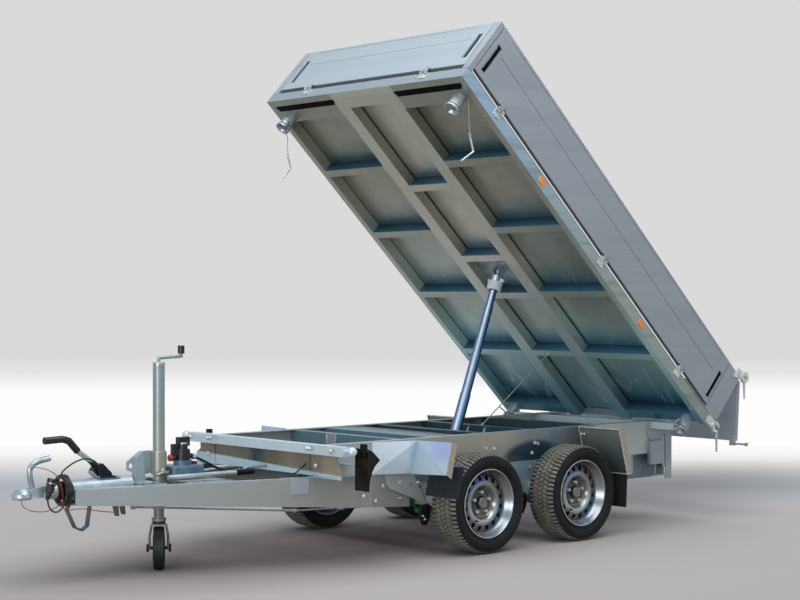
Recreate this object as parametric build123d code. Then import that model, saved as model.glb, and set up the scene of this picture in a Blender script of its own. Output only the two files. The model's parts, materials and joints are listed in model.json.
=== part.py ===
"""Tandem-axle tipper trailer with aluminium drop sides, standing on its jockey wheel.

Millimetres.  +X points forward to the coupling, +Y to the trailer's left, +Z up.
Everything is laid out about a datum on the ground midway between the two axles, and
the finished assembly is moved so that the origin is the bottom centre of its box.
The bed is drawn level, in its own coordinates, and then tipped about its rear pivots.
"""
from build123d import *
from math import asin, atan2, cos, degrees, hypot, pi, radians, sin, tan
import os

# ---------------------------------------------------------------- driving dimensions
# wheels and axles
WHEELBASE = 730.0            # between the two axles
TRACK_HALF = 656.0           # centre line to the middle of a tyre
TYRE_R = 262.5               # 195/50 R13
TYRE_W = 195.0
TYRE_BEAD_R = 172.0          # where the tyre sits on the rim
TREAD_SHOULDER = 26.0        # width of the rounded shoulder
RIM_LIP_R = 181.0
RIM_W = 150.0
RIM_T = 4.0                  # pressed steel
RIM_HOLES = 16
RIM_HOLE_R = 11.0
RIM_HOLE_PCR = 134.0         # radius of the ring of ventilation holes
BOLT_PCR = 56.0
BOLT_R = 9.0
BOLTS = 5
HUB_R = 50.0                 # raised seat in the middle of the disc
CAP_R = 29.0                 # dust cap
DRUM_R = 100.0
SPINDLE_R = 20.0
SPINDLE_FIT = 0.4            # radial running clearance on the spindle
AXLE_LEAD = 170.0            # axle tube ahead of the wheel centre
AXLE_Z = 285.0
AXLE_S = 70.0                # square axle tube
AXLE_REACH = 518.0           # half length of the tube
ARM_T = 28.0                 # trailing arm thickness
BRACKET_T = 6.0              # plates that carry the axles
DAMPER_R = 22.0
DAMPER_Y = 398.0

# chassis
RAIL_OUT = 475.0             # half width over the two side rails
RAIL_TOP = 602.0
RAIL_H = 167.0
RAIL_T = 4.0                 # folded sheet
RAIL_FLANGE = 45.0
CHASSIS_REAR = -1449.0
RAIL_DROP = 62.0             # how much deeper the rails are behind the mudguards
DROP_X = -1010.0
BALL_Y = 700.0               # half width over the bed's four ball supports
BALL_R = 24.0
BALL_FIT = 1.5               # play of a ball in its cup
NECK_R = 12.0
BEAM_X = 50.0                # section of the two cross beams, along X
BEAM_Z = 48.0
BEAM_T = 4.0
BEAM_TOP = 605.0             # front cross beam
BEAM_END = 652.0             # half length of both cross beams
WEB_HALF = 575.0             # half length of the apron under the front beam
WEB_DROP = 107.0
MEMBER_H = 120.0             # depth of the cross members
MEMBER_X = 50.0
MEMBERS = (700.0, 85.0, -298.0, -800.0)
DECK_X = 385.0               # wide cross member with a flat top
DECK_W = 230.0

# drawbar
DRAW_FRONT_X = 2440.0
DRAW_FRONT_Y = 61.5          # outer face of the beams at the front
DRAW_BEND_X = 950.0          # from here back they run along under the rails
DRAW_REAR_X = 690.0
DRAW_TOP = 435.0
DRAW_LOW_FRONT = 360.0
DRAW_LOW_BEND = 267.0
DRAW_LOW_REAR = 251.0
DRAW_W = 60.0
COUPLING_Z = 430.0
HOUSING_R = 48.0             # overrun housing
HOUSING_REAR = 2105.0
BELLOWS_FRONT = 2515.0
BELLOWS_R = 44.0
PLEATS = 5
HEAD_X = BELLOWS_FRONT + 175.0    # centre of the ball socket
HEAD_R = 42.0
SOCKET_R = 25.2              # for a 50 mm towing ball
SOCKET_Z = 404.0             # mouth of the socket
SOCKET_DEEP = 42.0

# bed, level, measured from its rear edge, centre line and underside
BED_L = 2730.0
BED_HALF = 808.0
BED_TOP = 423.0              # top of the drop sides
BED_RAIL_H = 69.0            # height of the edge profile
BED_RAIL_W = 42.0
REAR_CLEAR = 18.0            # the rear plate stops short, to clear the rails when tipped
SHEET = 4.0                  # wall of the folded profiles
FLOOR_T = 3.0
SILL_T = 12.0                # upstand behind the foot of the drop sides
SILL_IN = 32.0
WALL_LOW = 98.0
WALL_T = 25.0
PLANK_H = 281.0              # joint between the two planks of a side
FRONT_PLANK_H = 305.0
GROOVE = 3.0
END_CAP = 88.0               # upright profile at each end of a drop side
SLOT_W = 34.0                # recess of a drop-side latch
SLOT_LOW = 130.0
SLOT_HIGH = 322.0
SLOT_DEEP = 12.0
POST_W = 45.0
POST_FRONT = 33.0
POST_REAR = 65.0
POST_BACK = 66.0             # the rear posts stand out behind the floor
POST_BACK_LOW = 100.0
GAP = 6.0                    # between a drop side and the posts
LONG_IN = 160.0              # the two long beams, measured from the centre line
LONG_OUT = 250.0
TIP = 43.28                  # bed angle as it stands
PIVOT_X = -1279.0
PIVOT_Z = 585.0
PIVOT_A = 47.0               # pivot ahead of the bed's rear edge
PIVOT_H = -58.0              # and below its underside
CUP_A = BED_L - 130.0
CUP_R = 35.0
CUP_RIM_R = 42.0
CUP_DEEP = 95.0
PIN_R = 5.0
PIN_H = -88.5                # locking pin under the ball
HINGE_OUT = 12.0             # hinge axis outside the bed
HINGE_H = 74.0
HINGE_R = 7.0
HINGE_PIN_R = 4.0
HINGE_HALF = 26.0            # half length of a hinge
KNUCKLE = 9.0                # half length of its middle knuckle
SIDE_HINGES = (BED_L - 308.0, 1311.0, 403.0)
FRONT_HINGES = (-480.0, 480.0)
REFLECTORS = (1947.0, 831.0)

# tailgate, hung from its two upper pins
GATE_A = -88.0
GATE_H = 445.0
GATE_BACK = 18.0             # panel behind the pins
GATE_T = 25.0
GATE_HALF = BED_HALF - 46.0  # half width, just inside the latches
GATE_DROP = 22.0             # top edge below the pins
GATE_LOW = 383.0             # bottom edge below the pins
GATE_LEAN = 4.0              # its foot swings this far forward as it hangs
GATE_PIN_R = 9.0
LATCH_R = 33.0
LATCH_T = 16.0
LATCH_FIT = 0.6

# ram
RAM_X = -40.0
RAM_Z = 410.0
SOCKET_A = 1271.0
SOCKET_H = 34.0
RAM_STEP = 6.0               # how far each closed stage stands out of the next
RAM_TOPS = [118.0, 175.0, 400.0, 648.0, 937.0]
RAM_RADII = [42.0, 35.0, 31.0, 28.0, 25.0, 22.0]
RAM_FIT = 0.5
RAM_FOOT = 215.0
RAM_LAP = 50.0               # what stays inside the next stage
RAM_BALL_R = 19.0
SEAT_LOW = 14.0              # the ram's seat, below the floor
CHEEK_T = 10.0               # cheeks on both sides of the ram's ball
RAM_COLLAR = (35.0, 117.0)   # white collar, measured down from the ball
TRUNNION_R = 16.0
CRADLE_Y = 62.0
CRADLE_T = 10.0

COIL_X = 2455.0              # plug cable wound round the bellows
COIL_W = 42.0
COIL_R = 78.0
PIPE_Z = 466.0               # hydraulic pipe to the ram

# jockey wheel
JOCKEY_X = 1930.0
JOCKEY_R = 106.0
JOCKEY_W = 60.0
JOCKEY_SWIVEL = 56.0         # the caster's direction as parked
MAST_R = 29.5
MAST_TOP = 1020.0
MAST_LOW = 300.0
CRANK_X = 1797.0
KNOB_TOP = 1101.0

# pump
PUMP_X = 1789.0
TANK_HALF_X = 98.0
TANK_Z = 459.0
TANK_H = 50.0
PLATE_T = 6.0

# mudguards
GUARD_X = 680.0
GUARD_OUT = 790.0
GUARD_TOP = 600.0
GUARD_LOW = 425.0
GUARD_T = 4.0
REAR_GUARD_X = -617.0
REAR_GUARD_LOW = 345.0

BALL_X_FRONT = PIVOT_X - PIVOT_A + CUP_A
CHASSIS_FRONT = BALL_X_FRONT - BEAM_X / 2
RAIL_LOW = RAIL_TOP - RAIL_H
FLOOR_Z = BED_RAIL_H

MIN3 = (Align.CENTER, Align.CENTER, Align.MIN)
parts = {}


# ---------------------------------------------------------------- helpers
def block(x0, x1, y0, y1, z0, z1):
    """A box by its limits."""
    size = Box(x1 - x0, y1 - y0, z1 - z0)
    return Pos((x0 + x1) / 2, (y0 + y1) / 2, (z0 + z1) / 2) * size


def rod(p, q, r):
    """A round bar from p to q."""
    p, q = Vector(*p), Vector(*q)
    return Plane(origin=p, z_dir=q - p) * Cylinder(r, (q - p).length, align=MIN3)


def tube(p, q, r, bore):
    """A round tube from p to q."""
    return rod(p, q, r) - rod(p, q, bore)


def bar(points, r):
    """A bent round bar with ball-shaped elbows."""
    body = rod(points[0], points[1], r)
    for p, q in zip(points[1:], points[2:]):
        body += Pos(*p) * Sphere(r) + rod(p, q, r)
    return body


def face_of(corners):
    return make_face(Polyline(*corners, close=True))


def plate_xz(points, y0, y1):
    """A plate with its outline in XZ, between two Y values."""
    return extrude(face_of([(x, y0, z) for x, z in points]), amount=y1 - y0, dir=(0, 1, 0))


def plate_yz(points, x0, x1):
    """A plate with its outline in YZ, between two X values."""
    return extrude(face_of([(x0, y, z) for y, z in points]), amount=x1 - x0, dir=(1, 0, 0))


def folded(facets, direction, thick):
    """Sheet metal folded along shared edges: each facet pushed back the same way."""
    body = None
    for facet in facets:
        piece = extrude(face_of(facet), amount=thick, dir=direction)
        body = piece if body is None else body + piece
    return body


def prism(a, b):
    """A straight solid lofted between two quadrilaterals."""
    return loft([face_of(a), face_of(b)], ruled=True)


def spun(profile, axis=Axis.Z):
    """A turned piece from (radius, height) points."""
    if axis == Axis.Z:
        return revolve(face_of([(r, 0, h) for r, h in profile]), axis=axis)
    return revolve(face_of([(r, h, 0) for r, h in profile]), axis=axis)


def mirrored(shape):
    """The same piece on the other side of the centre line."""
    return mirror(shape, about=Plane.XZ)


def both(shape):
    """A piece and its mirror image, as separate solids."""
    return [shape, mirrored(shape)]


def add(name, shapes, place=None):
    """Keep the solids of one named piece."""
    shapes = shapes if isinstance(shapes, list) else [shapes]
    solids = [solid for shape in shapes for solid in shape.solids()]
    if place is not None:
        solids = [place * solid for solid in solids]
    parts[name] = solids


def swept(points, d, name=None):
    """A round bar or cord: straight runs joined by arcs as large as their runs allow."""
    points = [Vector(*p) for p in points]
    radii = []
    for a, b, c in zip(points, points[1:], points[2:]):
        turn = radians((b - a).get_angle(c - b))
        radii.append(0.45 * min((b - a).length, (c - b).length) / tan(turn / 2))
    path = FilletPolyline(*points, radius=radii)
    ring = Plane(origin=points[0], z_dir=points[1] - points[0]) * Circle(d / 2)
    if name:
        print(name, "length", round(path.length), "smallest radius / d", round(min(radii) / d, 1))
    return sweep(ring, path=path)


def cord(name, points, d):
    """A free cord, whose length and tightest bend are reported."""
    return swept(points, d, name)


# ---------------------------------------------------------------- chassis
def side_rail():
    """A tall folded channel, open inwards, deeper behind the wheels."""
    y0 = RAIL_OUT - RAIL_FLANGE
    low = RAIL_LOW - RAIL_DROP
    outline = [(CHASSIS_FRONT, RAIL_LOW), (CHASSIS_FRONT, RAIL_TOP), (CHASSIS_REAR, RAIL_TOP),
               (CHASSIS_REAR, low - RAIL_DROP), (DROP_X, low), (DROP_X + 2 * RAIL_DROP, RAIL_LOW)]
    rail = plate_xz(outline, RAIL_OUT - RAIL_T, RAIL_OUT)
    rail += block(CHASSIS_REAR, CHASSIS_FRONT, y0, RAIL_OUT, RAIL_TOP - RAIL_T, RAIL_TOP)
    rail += block(DROP_X + 2 * RAIL_DROP, CHASSIS_FRONT, y0, RAIL_OUT, RAIL_LOW, RAIL_LOW + RAIL_T)
    rail += block(CHASSIS_REAR, CHASSIS_REAR + RAIL_T, y0 - 60, RAIL_OUT, low - RAIL_DROP, RAIL_TOP)
    window = block(-1372, -1080, RAIL_OUT - RAIL_T, RAIL_OUT, 296, 410)
    return rail - window - rear_beam(0)


def lamp_bracket():
    """Stiffening plates at the rear end of a rail, in front of the lamp."""
    post = block(-1362, -1232, RAIL_OUT, RAIL_OUT + 22, 344, 484) - block(
        -1358, -1236, RAIL_OUT, RAIL_OUT + 18, 344, 484)
    foot = block(-1382, -1232, RAIL_OUT, RAIL_OUT + 26, 272, 280)
    stem = block(-1300, -1290, RAIL_OUT, RAIL_OUT + 8, 280, 344)
    return [post + stem + foot, block(CHASSIS_REAR, -1392, RAIL_OUT, RAIL_OUT + 6, 250, 522)]


def pivot_plate():
    """Round-footed doubling plate on the rail round the rear beam."""
    disc = rod((PIVOT_X - 25, RAIL_OUT, 552), (PIVOT_X - 25, RAIL_OUT + 6, 552), 84)
    disc -= block(PIVOT_X - 140, PIVOT_X + 90, RAIL_OUT, RAIL_OUT + 6, RAIL_TOP - 6, RAIL_TOP + 80)
    disc -= block(-1364, -1230, RAIL_OUT, RAIL_OUT + 6, 400, 486)
    return disc - rear_beam(0)


def rear_beam(wall):
    """The tube through both rails that carries the rear pivots."""
    top = RAIL_TOP - RAIL_T - 1
    x0, x1 = PIVOT_X - BEAM_X / 2, PIVOT_X + BEAM_X / 2
    beam = block(x0, x1, -BEAM_END, BEAM_END, top - BEAM_Z, top)
    if wall:
        beam -= block(x0 + wall, x1 - wall, 6 - BEAM_END, BEAM_END - 6, top - BEAM_Z + wall, top - wall)
    return beam


def front_beam():
    """The wide tube that carries the two front balls, with its apron."""
    x0, x1 = BALL_X_FRONT - BEAM_X / 2, BALL_X_FRONT + BEAM_X / 2
    low = BEAM_TOP - BEAM_Z
    beam = block(x0, x1, -BEAM_END, BEAM_END, low, BEAM_TOP)
    beam -= block(x0 + BEAM_T, x1 - BEAM_T, 6 - BEAM_END, BEAM_END - 6, low + BEAM_T, BEAM_TOP - BEAM_T)
    apron = block(x0 + 12, x0 + 16, -WEB_HALF, WEB_HALF, low - WEB_DROP, low)
    apron += block(x0 + 12, x0 + 42, -WEB_HALF, WEB_HALF, low - WEB_DROP, low - WEB_DROP + RAIL_T)
    body = beam + apron
    for side in (1, -1):
        corner = [(side * 443, low), (side * 443, 438), (side * 610, 438), (side * 610, 500), (side * 575, 520),
                  (side * 575, low)]
        body += plate_yz(corner, x0 + 16, x0 + 20)
    return body - rod((x0, 0, PIPE_Z), (x1, 0, PIPE_Z), 9)


def ball_pin(x, y):
    """A ball on a horizontal neck at the end of its beam."""
    side = 1 if y > 0 else -1
    pin = rod((x, side * BEAM_END, PIVOT_Z), (x, y, PIVOT_Z), NECK_R)
    return pin + Pos(x, y, PIVOT_Z) * Sphere(BALL_R)


def cross_member(x, width, top=RAIL_TOP - RAIL_T):
    """A channel between the rails, open downwards."""
    half = RAIL_OUT - RAIL_T
    x0, x1 = x - width / 2, x + width / 2
    body = block(x0, x1, -half, half, top - MEMBER_H, top)
    return body - block(x0 + RAIL_T, x1 - RAIL_T, -half, half, top - MEMBER_H, top - RAIL_T)


def draw_section(x, y, low, inner):
    return [(x, y, low), (x, y, DRAW_TOP), (x, inner, DRAW_TOP), (x, inner, low)]


def drawbar_beam():
    """One tapered beam of the V, deeper towards the chassis, then along under the rail."""
    splay = cos(atan2(RAIL_OUT - DRAW_FRONT_Y, DRAW_FRONT_X - DRAW_BEND_X))
    bend_x, rear_x = DRAW_BEND_X, DRAW_REAR_X
    body = None
    for inset, floor in ((0.0, 0.0), (RAIL_T, RAIL_T)):
        width = DRAW_W if inset == 0 else DRAW_W + 1
        front = draw_section(DRAW_FRONT_X, DRAW_FRONT_Y - inset / splay, DRAW_LOW_FRONT + floor,
                             DRAW_FRONT_Y - width / splay)
        bend = draw_section(bend_x, RAIL_OUT - inset, DRAW_LOW_BEND + floor, RAIL_OUT - width)
        rear = draw_section(rear_x, RAIL_OUT - inset, DRAW_LOW_REAR + floor, RAIL_OUT - width)
        if floor:
            for ring in (front, bend, rear):
                ring[1] = (ring[1][0], ring[1][1], DRAW_TOP - RAIL_T)
                ring[2] = (ring[2][0], ring[2][1], DRAW_TOP - RAIL_T)
        shape = prism(front, bend) + prism(bend, rear)
        body = shape if body is None else body - shape
    nose = rod((HOUSING_REAR - 1, 0, COUPLING_Z), (DRAW_FRONT_X + 1, 0, COUPLING_Z), HOUSING_R)
    return body - nose - block(HOUSING_REAR, DRAW_FRONT_X, -18, 18, 300, COUPLING_Z)


def gusset():
    """Square fishplate where a beam of the V passes under the front beam."""
    slope = (RAIL_OUT - DRAW_FRONT_Y) / (DRAW_FRONT_X - DRAW_BEND_X)
    ends = []
    for x in (1385.0, 1290.0):
        y = DRAW_FRONT_Y + (DRAW_FRONT_X - x) * slope
        ends.append([(x, y, 355), (x, y, 431), (x, y + 6, 431), (x, y + 6, 355)])
    return prism(ends[0], ends[1])


# ---------------------------------------------------------------- running gear
def axle(x):
    """One axle: square tube, trailing arms and spindles."""
    ax = x + AXLE_LEAD
    half = AXLE_S / 2
    body = block(ax - half, ax + half, -AXLE_REACH, AXLE_REACH, AXLE_Z - half, AXLE_Z + half)
    for side in (1, -1):
        y0 = side * (AXLE_REACH + ARM_T / 2)
        arm = rod((ax, y0 - ARM_T / 2, AXLE_Z), (ax, y0 + ARM_T / 2, AXLE_Z), 42)
        arm += rod((x, y0 - ARM_T / 2, TYRE_R), (x, y0 + ARM_T / 2, TYRE_R), 34)
        arm += plate_xz([(ax, AXLE_Z + 38), (ax, AXLE_Z - 38), (x, TYRE_R - 30), (x, TYRE_R + 30)],
                        y0 - ARM_T / 2, y0 + ARM_T / 2)
        body += arm
        body += rod((x, y0, TYRE_R), (x, side * (TRACK_HALF - 10), TYRE_R), SPINDLE_R)
    return body


def axle_bracket(x):
    """Galvanised plate outside the rail that comes down and carries the axle tube."""
    ax = x + AXLE_LEAD
    half, y1 = AXLE_S / 2, RAIL_OUT + BRACKET_T
    low = AXLE_Z - half
    outline = [(ax + 329, RAIL_LOW + 20), (ax + 329, RAIL_LOW - 18), (ax + 318, 376), (ax + 294, 353),
               (ax + 119, 287), (ax + 26, 217), (ax - 10, 198), (ax - 65, 205), (ax - 65, AXLE_Z + 45),
               (ax - half, AXLE_Z + 45), (ax - half, low), (ax + half, low), (ax + half, low + 12), (ax + 69, 304),
               (ax + 133, RAIL_LOW - 10), (ax + 150, RAIL_LOW + 20)]
    plate = plate_xz(outline, RAIL_OUT, y1)
    return plate - rod((ax + 150, RAIL_OUT, 365), (ax + 150, y1, 365), 9)


def damper(x):
    """Shock absorber between the bracket and the axle, leaning back."""
    ax = x + AXLE_LEAD
    top, low = (ax + 190, DAMPER_Y, 375), (ax + 20, DAMPER_Y, 212)
    dx, dz = low[0] - top[0], low[2] - top[2]
    at = [(top[0] + dx * t, DAMPER_Y, top[2] + dz * t) for t in (0.12, 0.72)]
    body = rod(top, low, 7) + rod(at[0], at[1], DAMPER_R)
    for eye in (top, low):
        body += rod((eye[0], DAMPER_Y - 14, eye[2]), (eye[0], DAMPER_Y + 14, eye[2]), 15)
    return body


def tyre(x, side):
    """Road tyre with rounded shoulders and full side walls."""
    w, s = TYRE_W / 2, RIM_W / 2
    profile = [(TYRE_BEAD_R, -s), (TYRE_BEAD_R + 12, -s - 2), (TYRE_BEAD_R + 34, -w + 3), (TYRE_R - 42, -w),
               (TYRE_R - 22, -w + 4), (TYRE_R - 8, -w + 14), (TYRE_R - 2, -w + TREAD_SHOULDER),
               (TYRE_R, -w + 2 * TREAD_SHOULDER)]
    profile += [(r, -v) for r, v in reversed(profile)]
    return Pos(x, side * TRACK_HALF, TYRE_R) * spun(profile, Axis.Y)


def rim(x, side):
    """Pressed steel wheel: barrel, dished disc with ventilation holes, bolts, cap and drum."""
    s = RIM_W / 2
    seat = TYRE_BEAD_R - 0.3
    lip, t = RIM_LIP_R, RIM_T
    barrel = [(seat, -s), (seat, -s - 3), (lip, -s - 4), (lip, -s - 8), (seat - t, -s - 7), (seat - t - 3, -s + 22),
              (150, -24), (150, 8), (seat - t - 3, s - 22), (seat - t, s + 7), (lip - 2, s + 9), (lip, s + 7),
              (lip, s + 4), (seat, s + 3), (seat, s - 24), (155, 10), (155, -26), (seat, -s + 24)]
    wheel = spun(barrel, Axis.Y)
    dish = [(151.5, -8), (151.5, 0), (146, 14), (128, 34), (112, 38), (98, 36), (80, 26), (66, 22), (66, 18),
            (82, 21), (98, 31), (112, 33), (126, 29), (141, 12), (147, -8)]
    disc = spun(dish, Axis.Y)
    for i in range(RIM_HOLES):
        a = 2 * pi * i / RIM_HOLES
        disc -= Pos(RIM_HOLE_PCR * cos(a), 25, RIM_HOLE_PCR * sin(a)) * Rot(90, 0, 0) * Cylinder(RIM_HOLE_R, 60)
    wheel += disc
    wheel += spun([(0, -45), (70, -45), (70, 10), (HUB_R + 17, 22), (HUB_R + 12, 25), (0, 25)], Axis.Y)
    wheel += rod((0, -75, 0), (0, -45, 0), DRUM_R)
    for i in range(BOLTS):
        a = 2 * pi * i / BOLTS + pi / 2
        wheel += rod((BOLT_PCR * cos(a), 24, BOLT_PCR * sin(a)), (BOLT_PCR * cos(a), 40, BOLT_PCR * sin(a)), BOLT_R)
    wheel += spun([(0, 24), (CAP_R, 24), (CAP_R, 46), (CAP_R - 5, 52), (0, 54)], Axis.Y)
    wheel -= rod((0, -100, 0), (0, 0, 0), SPINDLE_R + SPINDLE_FIT)
    turn = Rot(0, 0, 0) if side > 0 else Rot(0, 0, 180)
    return Pos(x, side * TRACK_HALF, TYRE_R) * turn * wheel


# ---------------------------------------------------------------- bed
BED = Pos(PIVOT_X, 0, PIVOT_Z) * Rot(0, -TIP, 0) * Pos(-PIVOT_A, 0, -PIVOT_H)


def edge_profile(a0, a1):
    """Hollow edge profile of the left side, with the upstand behind the drop side."""
    y0 = BED_HALF - BED_RAIL_W
    rail = block(a0, a1, y0, BED_HALF, 0, BED_RAIL_H)
    rail -= block(a0 + SHEET, a1 - SHEET, y0 + SHEET, BED_HALF - SHEET, SHEET, BED_RAIL_H - SHEET)
    sill = BED_HALF - SILL_IN
    return rail + block(a0 + POST_REAR, a1 - POST_FRONT, sill - SILL_T, sill, BED_RAIL_H, WALL_LOW - 3)


def front_profile():
    """Edge profile across the front of the bed."""
    half = BED_HALF - BED_RAIL_W
    a0 = BED_L - BED_RAIL_W
    rail = block(a0, BED_L, -half, half, 0, BED_RAIL_H)
    rail -= block(a0 + SHEET, BED_L - SHEET, SHEET - half, half - SHEET, SHEET, BED_RAIL_H - SHEET)
    sill = BED_L - SILL_IN
    return rail + block(sill - SILL_T, sill, 6 - half, half - 6, BED_RAIL_H, WALL_LOW - 3)


def rear_profile():
    """Plate across the rear end of the bed frame."""
    half = BED_HALF - BED_RAIL_W
    return block(0, SHEET, -half, half, REAR_CLEAR, BED_RAIL_H)


def channel(a0, a1, y0, y1, along):
    """A folded channel under the floor, open upwards."""
    t = SHEET
    body = block(a0, a1, y0, y1, 0, FLOOR_Z)
    if along:
        return body - block(a0, a1, y0 + t, y1 - t, t, FLOOR_Z)
    return body - block(a0 + t, a1 - t, y0, y1, t, FLOOR_Z)


def ball_cup(a):
    """A bell that drops over its ball, slotted for the neck."""
    profile = [(0, 0), (CUP_R, 0), (CUP_R, -CUP_DEEP + 22), (CUP_RIM_R, -CUP_DEEP + 8), (CUP_RIM_R, -CUP_DEEP),
               (CUP_RIM_R - 5, -CUP_DEEP), (BALL_R + BALL_FIT, -CUP_DEEP + 14), (BALL_R + BALL_FIT, PIVOT_H),
               (0, PIVOT_H)]
    cup = spun(profile) - Pos(0, 0, PIVOT_H) * Sphere(BALL_R + BALL_FIT)
    room = NECK_R + 2
    cup -= rod((0, 0, PIVOT_H), (0, -60, PIVOT_H), room)
    cup -= block(-room, room, -60, 0, -CUP_DEEP - 1, PIVOT_H)
    cup -= rod((-60, 0, PIN_H), (60, 0, PIN_H), PIN_R + 0.5)
    return Pos(a, BALL_Y, 0) * cup


def locking_pin():
    """Pin with a cranked handle, through a rear cup."""
    points = [(PIVOT_A - 58, BALL_Y, PIN_H), (PIVOT_A + 66, BALL_Y, PIN_H),
              (PIVOT_A + 84, BALL_Y + 34, PIN_H + 12)]
    return bar(points, PIN_R)


def loose_pin(top, bend, end):
    """The same pin, hanging from its lanyard."""
    ring = Pos(top[0], top[1], top[2] - 9) * Rot(90, 0, 0) * Torus(7, 2)
    return bar([(top[0], top[1], top[2] - 16), bend, end], PIN_R) + ring


def latch_slot(a, y0, y1):
    """Recess for a latch lever in a drop side's end profile."""
    return block(a - SLOT_W / 2, a + SLOT_W / 2, y0, y1, SLOT_LOW, SLOT_HIGH)


def side_wall():
    """Drop side of two planks between end profiles, with its hinge straps."""
    a0, a1 = POST_REAR + GAP, BED_L - POST_FRONT - GAP
    y1 = BED_HALF
    wall = block(a0, a1, y1 - WALL_T, y1, WALL_LOW, BED_TOP)
    inner0, inner1 = a0 + END_CAP, a1 - END_CAP
    for h in (PLANK_H, BED_TOP - 16):
        wall -= block(inner0, inner1, y1 - GROOVE, y1, h - GROOVE / 2, h + GROOVE / 2)
        wall -= block(inner0, inner1, y1 - WALL_T, y1 - WALL_T + GROOVE, h - GROOVE / 2, h + GROOVE / 2)
    for a in (inner0, inner1):
        wall -= block(a - 0.8, a + 0.8, y1 - 1.5, y1, WALL_LOW, BED_TOP)
    for a in (a0 + 28, a1 - 46):
        wall -= latch_slot(a, y1 - SLOT_DEEP, y1)
    for a in SIDE_HINGES:
        wall += wall_strap(a)
    return wall


def wall_strap(a):
    """The moving leaf of a hinge, below a drop side, with its middle knuckle."""
    axis_y = BED_HALF + HINGE_OUT
    leaf = block(a - HINGE_HALF, a + HINGE_HALF, BED_HALF, BED_HALF + 4, WALL_LOW + 2, WALL_LOW + 30)
    arm = block(a - KNUCKLE, a + KNUCKLE, BED_HALF, axis_y + 3, HINGE_H + 5, WALL_LOW + 8)
    knuckle = rod((a - KNUCKLE, axis_y, HINGE_H), (a + KNUCKLE, axis_y, HINGE_H), HINGE_R)
    bore = rod((a - KNUCKLE, axis_y, HINGE_H), (a + KNUCKLE, axis_y, HINGE_H), HINGE_PIN_R + 0.3)
    return leaf + arm + knuckle - bore


def hinge_base(a):
    """The fixed leaf of a hinge on the edge profile, its outer knuckles and pin."""
    axis_y = BED_HALF + HINGE_OUT
    base = block(a - HINGE_HALF, a + HINGE_HALF, BED_HALF, BED_HALF + 4, 26, 66)
    for sign in (1, -1):
        near, far = a + sign * (KNUCKLE + 0.5), a + sign * HINGE_HALF
        base += rod((near, axis_y, HINGE_H), (far, axis_y, HINGE_H), HINGE_R)
        base += block(min(near, far), max(near, far), BED_HALF, axis_y, 56, HINGE_H)
    return base + rod((a - HINGE_HALF - 3, axis_y, HINGE_H), (a + HINGE_HALF + 3, axis_y, HINGE_H), HINGE_PIN_R)


# the front wall's hinges are the side hinges, moved round the corner
TURN_FRONT = Pos(BED_L - BED_HALF, 0, 0) * Rot(0, 0, -90)


def front_wall():
    """Front drop side with its two latch recesses and hinge straps."""
    half = BED_HALF - POST_W - GAP
    wall = block(BED_L - WALL_T, BED_L, -half, half, WALL_LOW, BED_TOP)
    for h in (FRONT_PLANK_H, BED_TOP - 16):
        wall -= block(BED_L - GROOVE, BED_L, END_CAP - half, half - END_CAP, h - GROOVE / 2, h + GROOVE / 2)
    for side in (1, -1):
        y = side * (half - 46)
        wall -= block(BED_L - SLOT_DEEP, BED_L, y - SLOT_W / 2, y + SLOT_W / 2, SLOT_LOW + 26, SLOT_HIGH + 20)
    for y in FRONT_HINGES:
        wall += TURN_FRONT * wall_strap(-y)
    return wall


def rear_post():
    """Rear corner post: a folded channel that reaches back to the tailgate."""
    y0, y1 = BED_HALF - POST_W, BED_HALF
    outline = [(POST_REAR, BED_RAIL_H), (POST_REAR, BED_TOP), (-10, BED_TOP), (-POST_BACK, BED_TOP - 34),
               (-POST_BACK, POST_BACK_LOW), (-30, BED_RAIL_H)]
    post = plate_xz(outline, y0, y1)
    hollow = [(POST_REAR - 6, BED_RAIL_H + 6), (POST_REAR - 6, BED_TOP - 6), (-6, BED_TOP - 6),
              (6 - POST_BACK, BED_TOP - 40), (6 - POST_BACK, POST_BACK_LOW + 4), (-26, BED_RAIL_H + 6)]
    return post - plate_xz(hollow, y0, y1 - 6)


def gate_latches():
    """Bearing of the upper pin and hook of the lower one, with their hanging handles."""
    y0 = BED_HALF
    pieces = []
    for a, h, hook in ((GATE_A, GATE_H, False), (-74.0, 45.0, True)):
        ring = rod((a, y0, h), (a, y0 + LATCH_T, h), LATCH_R)
        arm = [(a + 4, h - 26), (a + 4, h + 24), (-6, h + 4), (-6, h - 66)]
        if hook:
            arm = [(a + 4, h - 24), (a + 4, h + 27), (12, 66), (12, 12)]
        ring += plate_xz(arm, y0, y0 + 6)
        ring -= rod((a, y0, h), (a, y0 + LATCH_T, h), GATE_PIN_R + (4 if hook else LATCH_FIT))
        if hook:
            room = GATE_PIN_R + 4
            ring -= block(a - 60, a, y0, y0 + LATCH_T, h - room, h + room)
        pieces.append(ring)
    return pieces


def hanging_handle(a, h, length):
    """Cranked latch handle, hanging plumb while the bed is tipped."""
    start = BED * Pos(a, BED_HALF + LATCH_T + 5, h)
    x, y, z = start.position.X, start.position.Y, start.position.Z
    handle = rod((x, y - 5, z), (x, y + 6, z), 9)
    low = z - length
    grip = [(x - 10, z), (x + 8, z), (x + 2, low), (x - 7, low)]
    return handle + plate_xz(grip, y - 3, y + 3)


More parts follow.
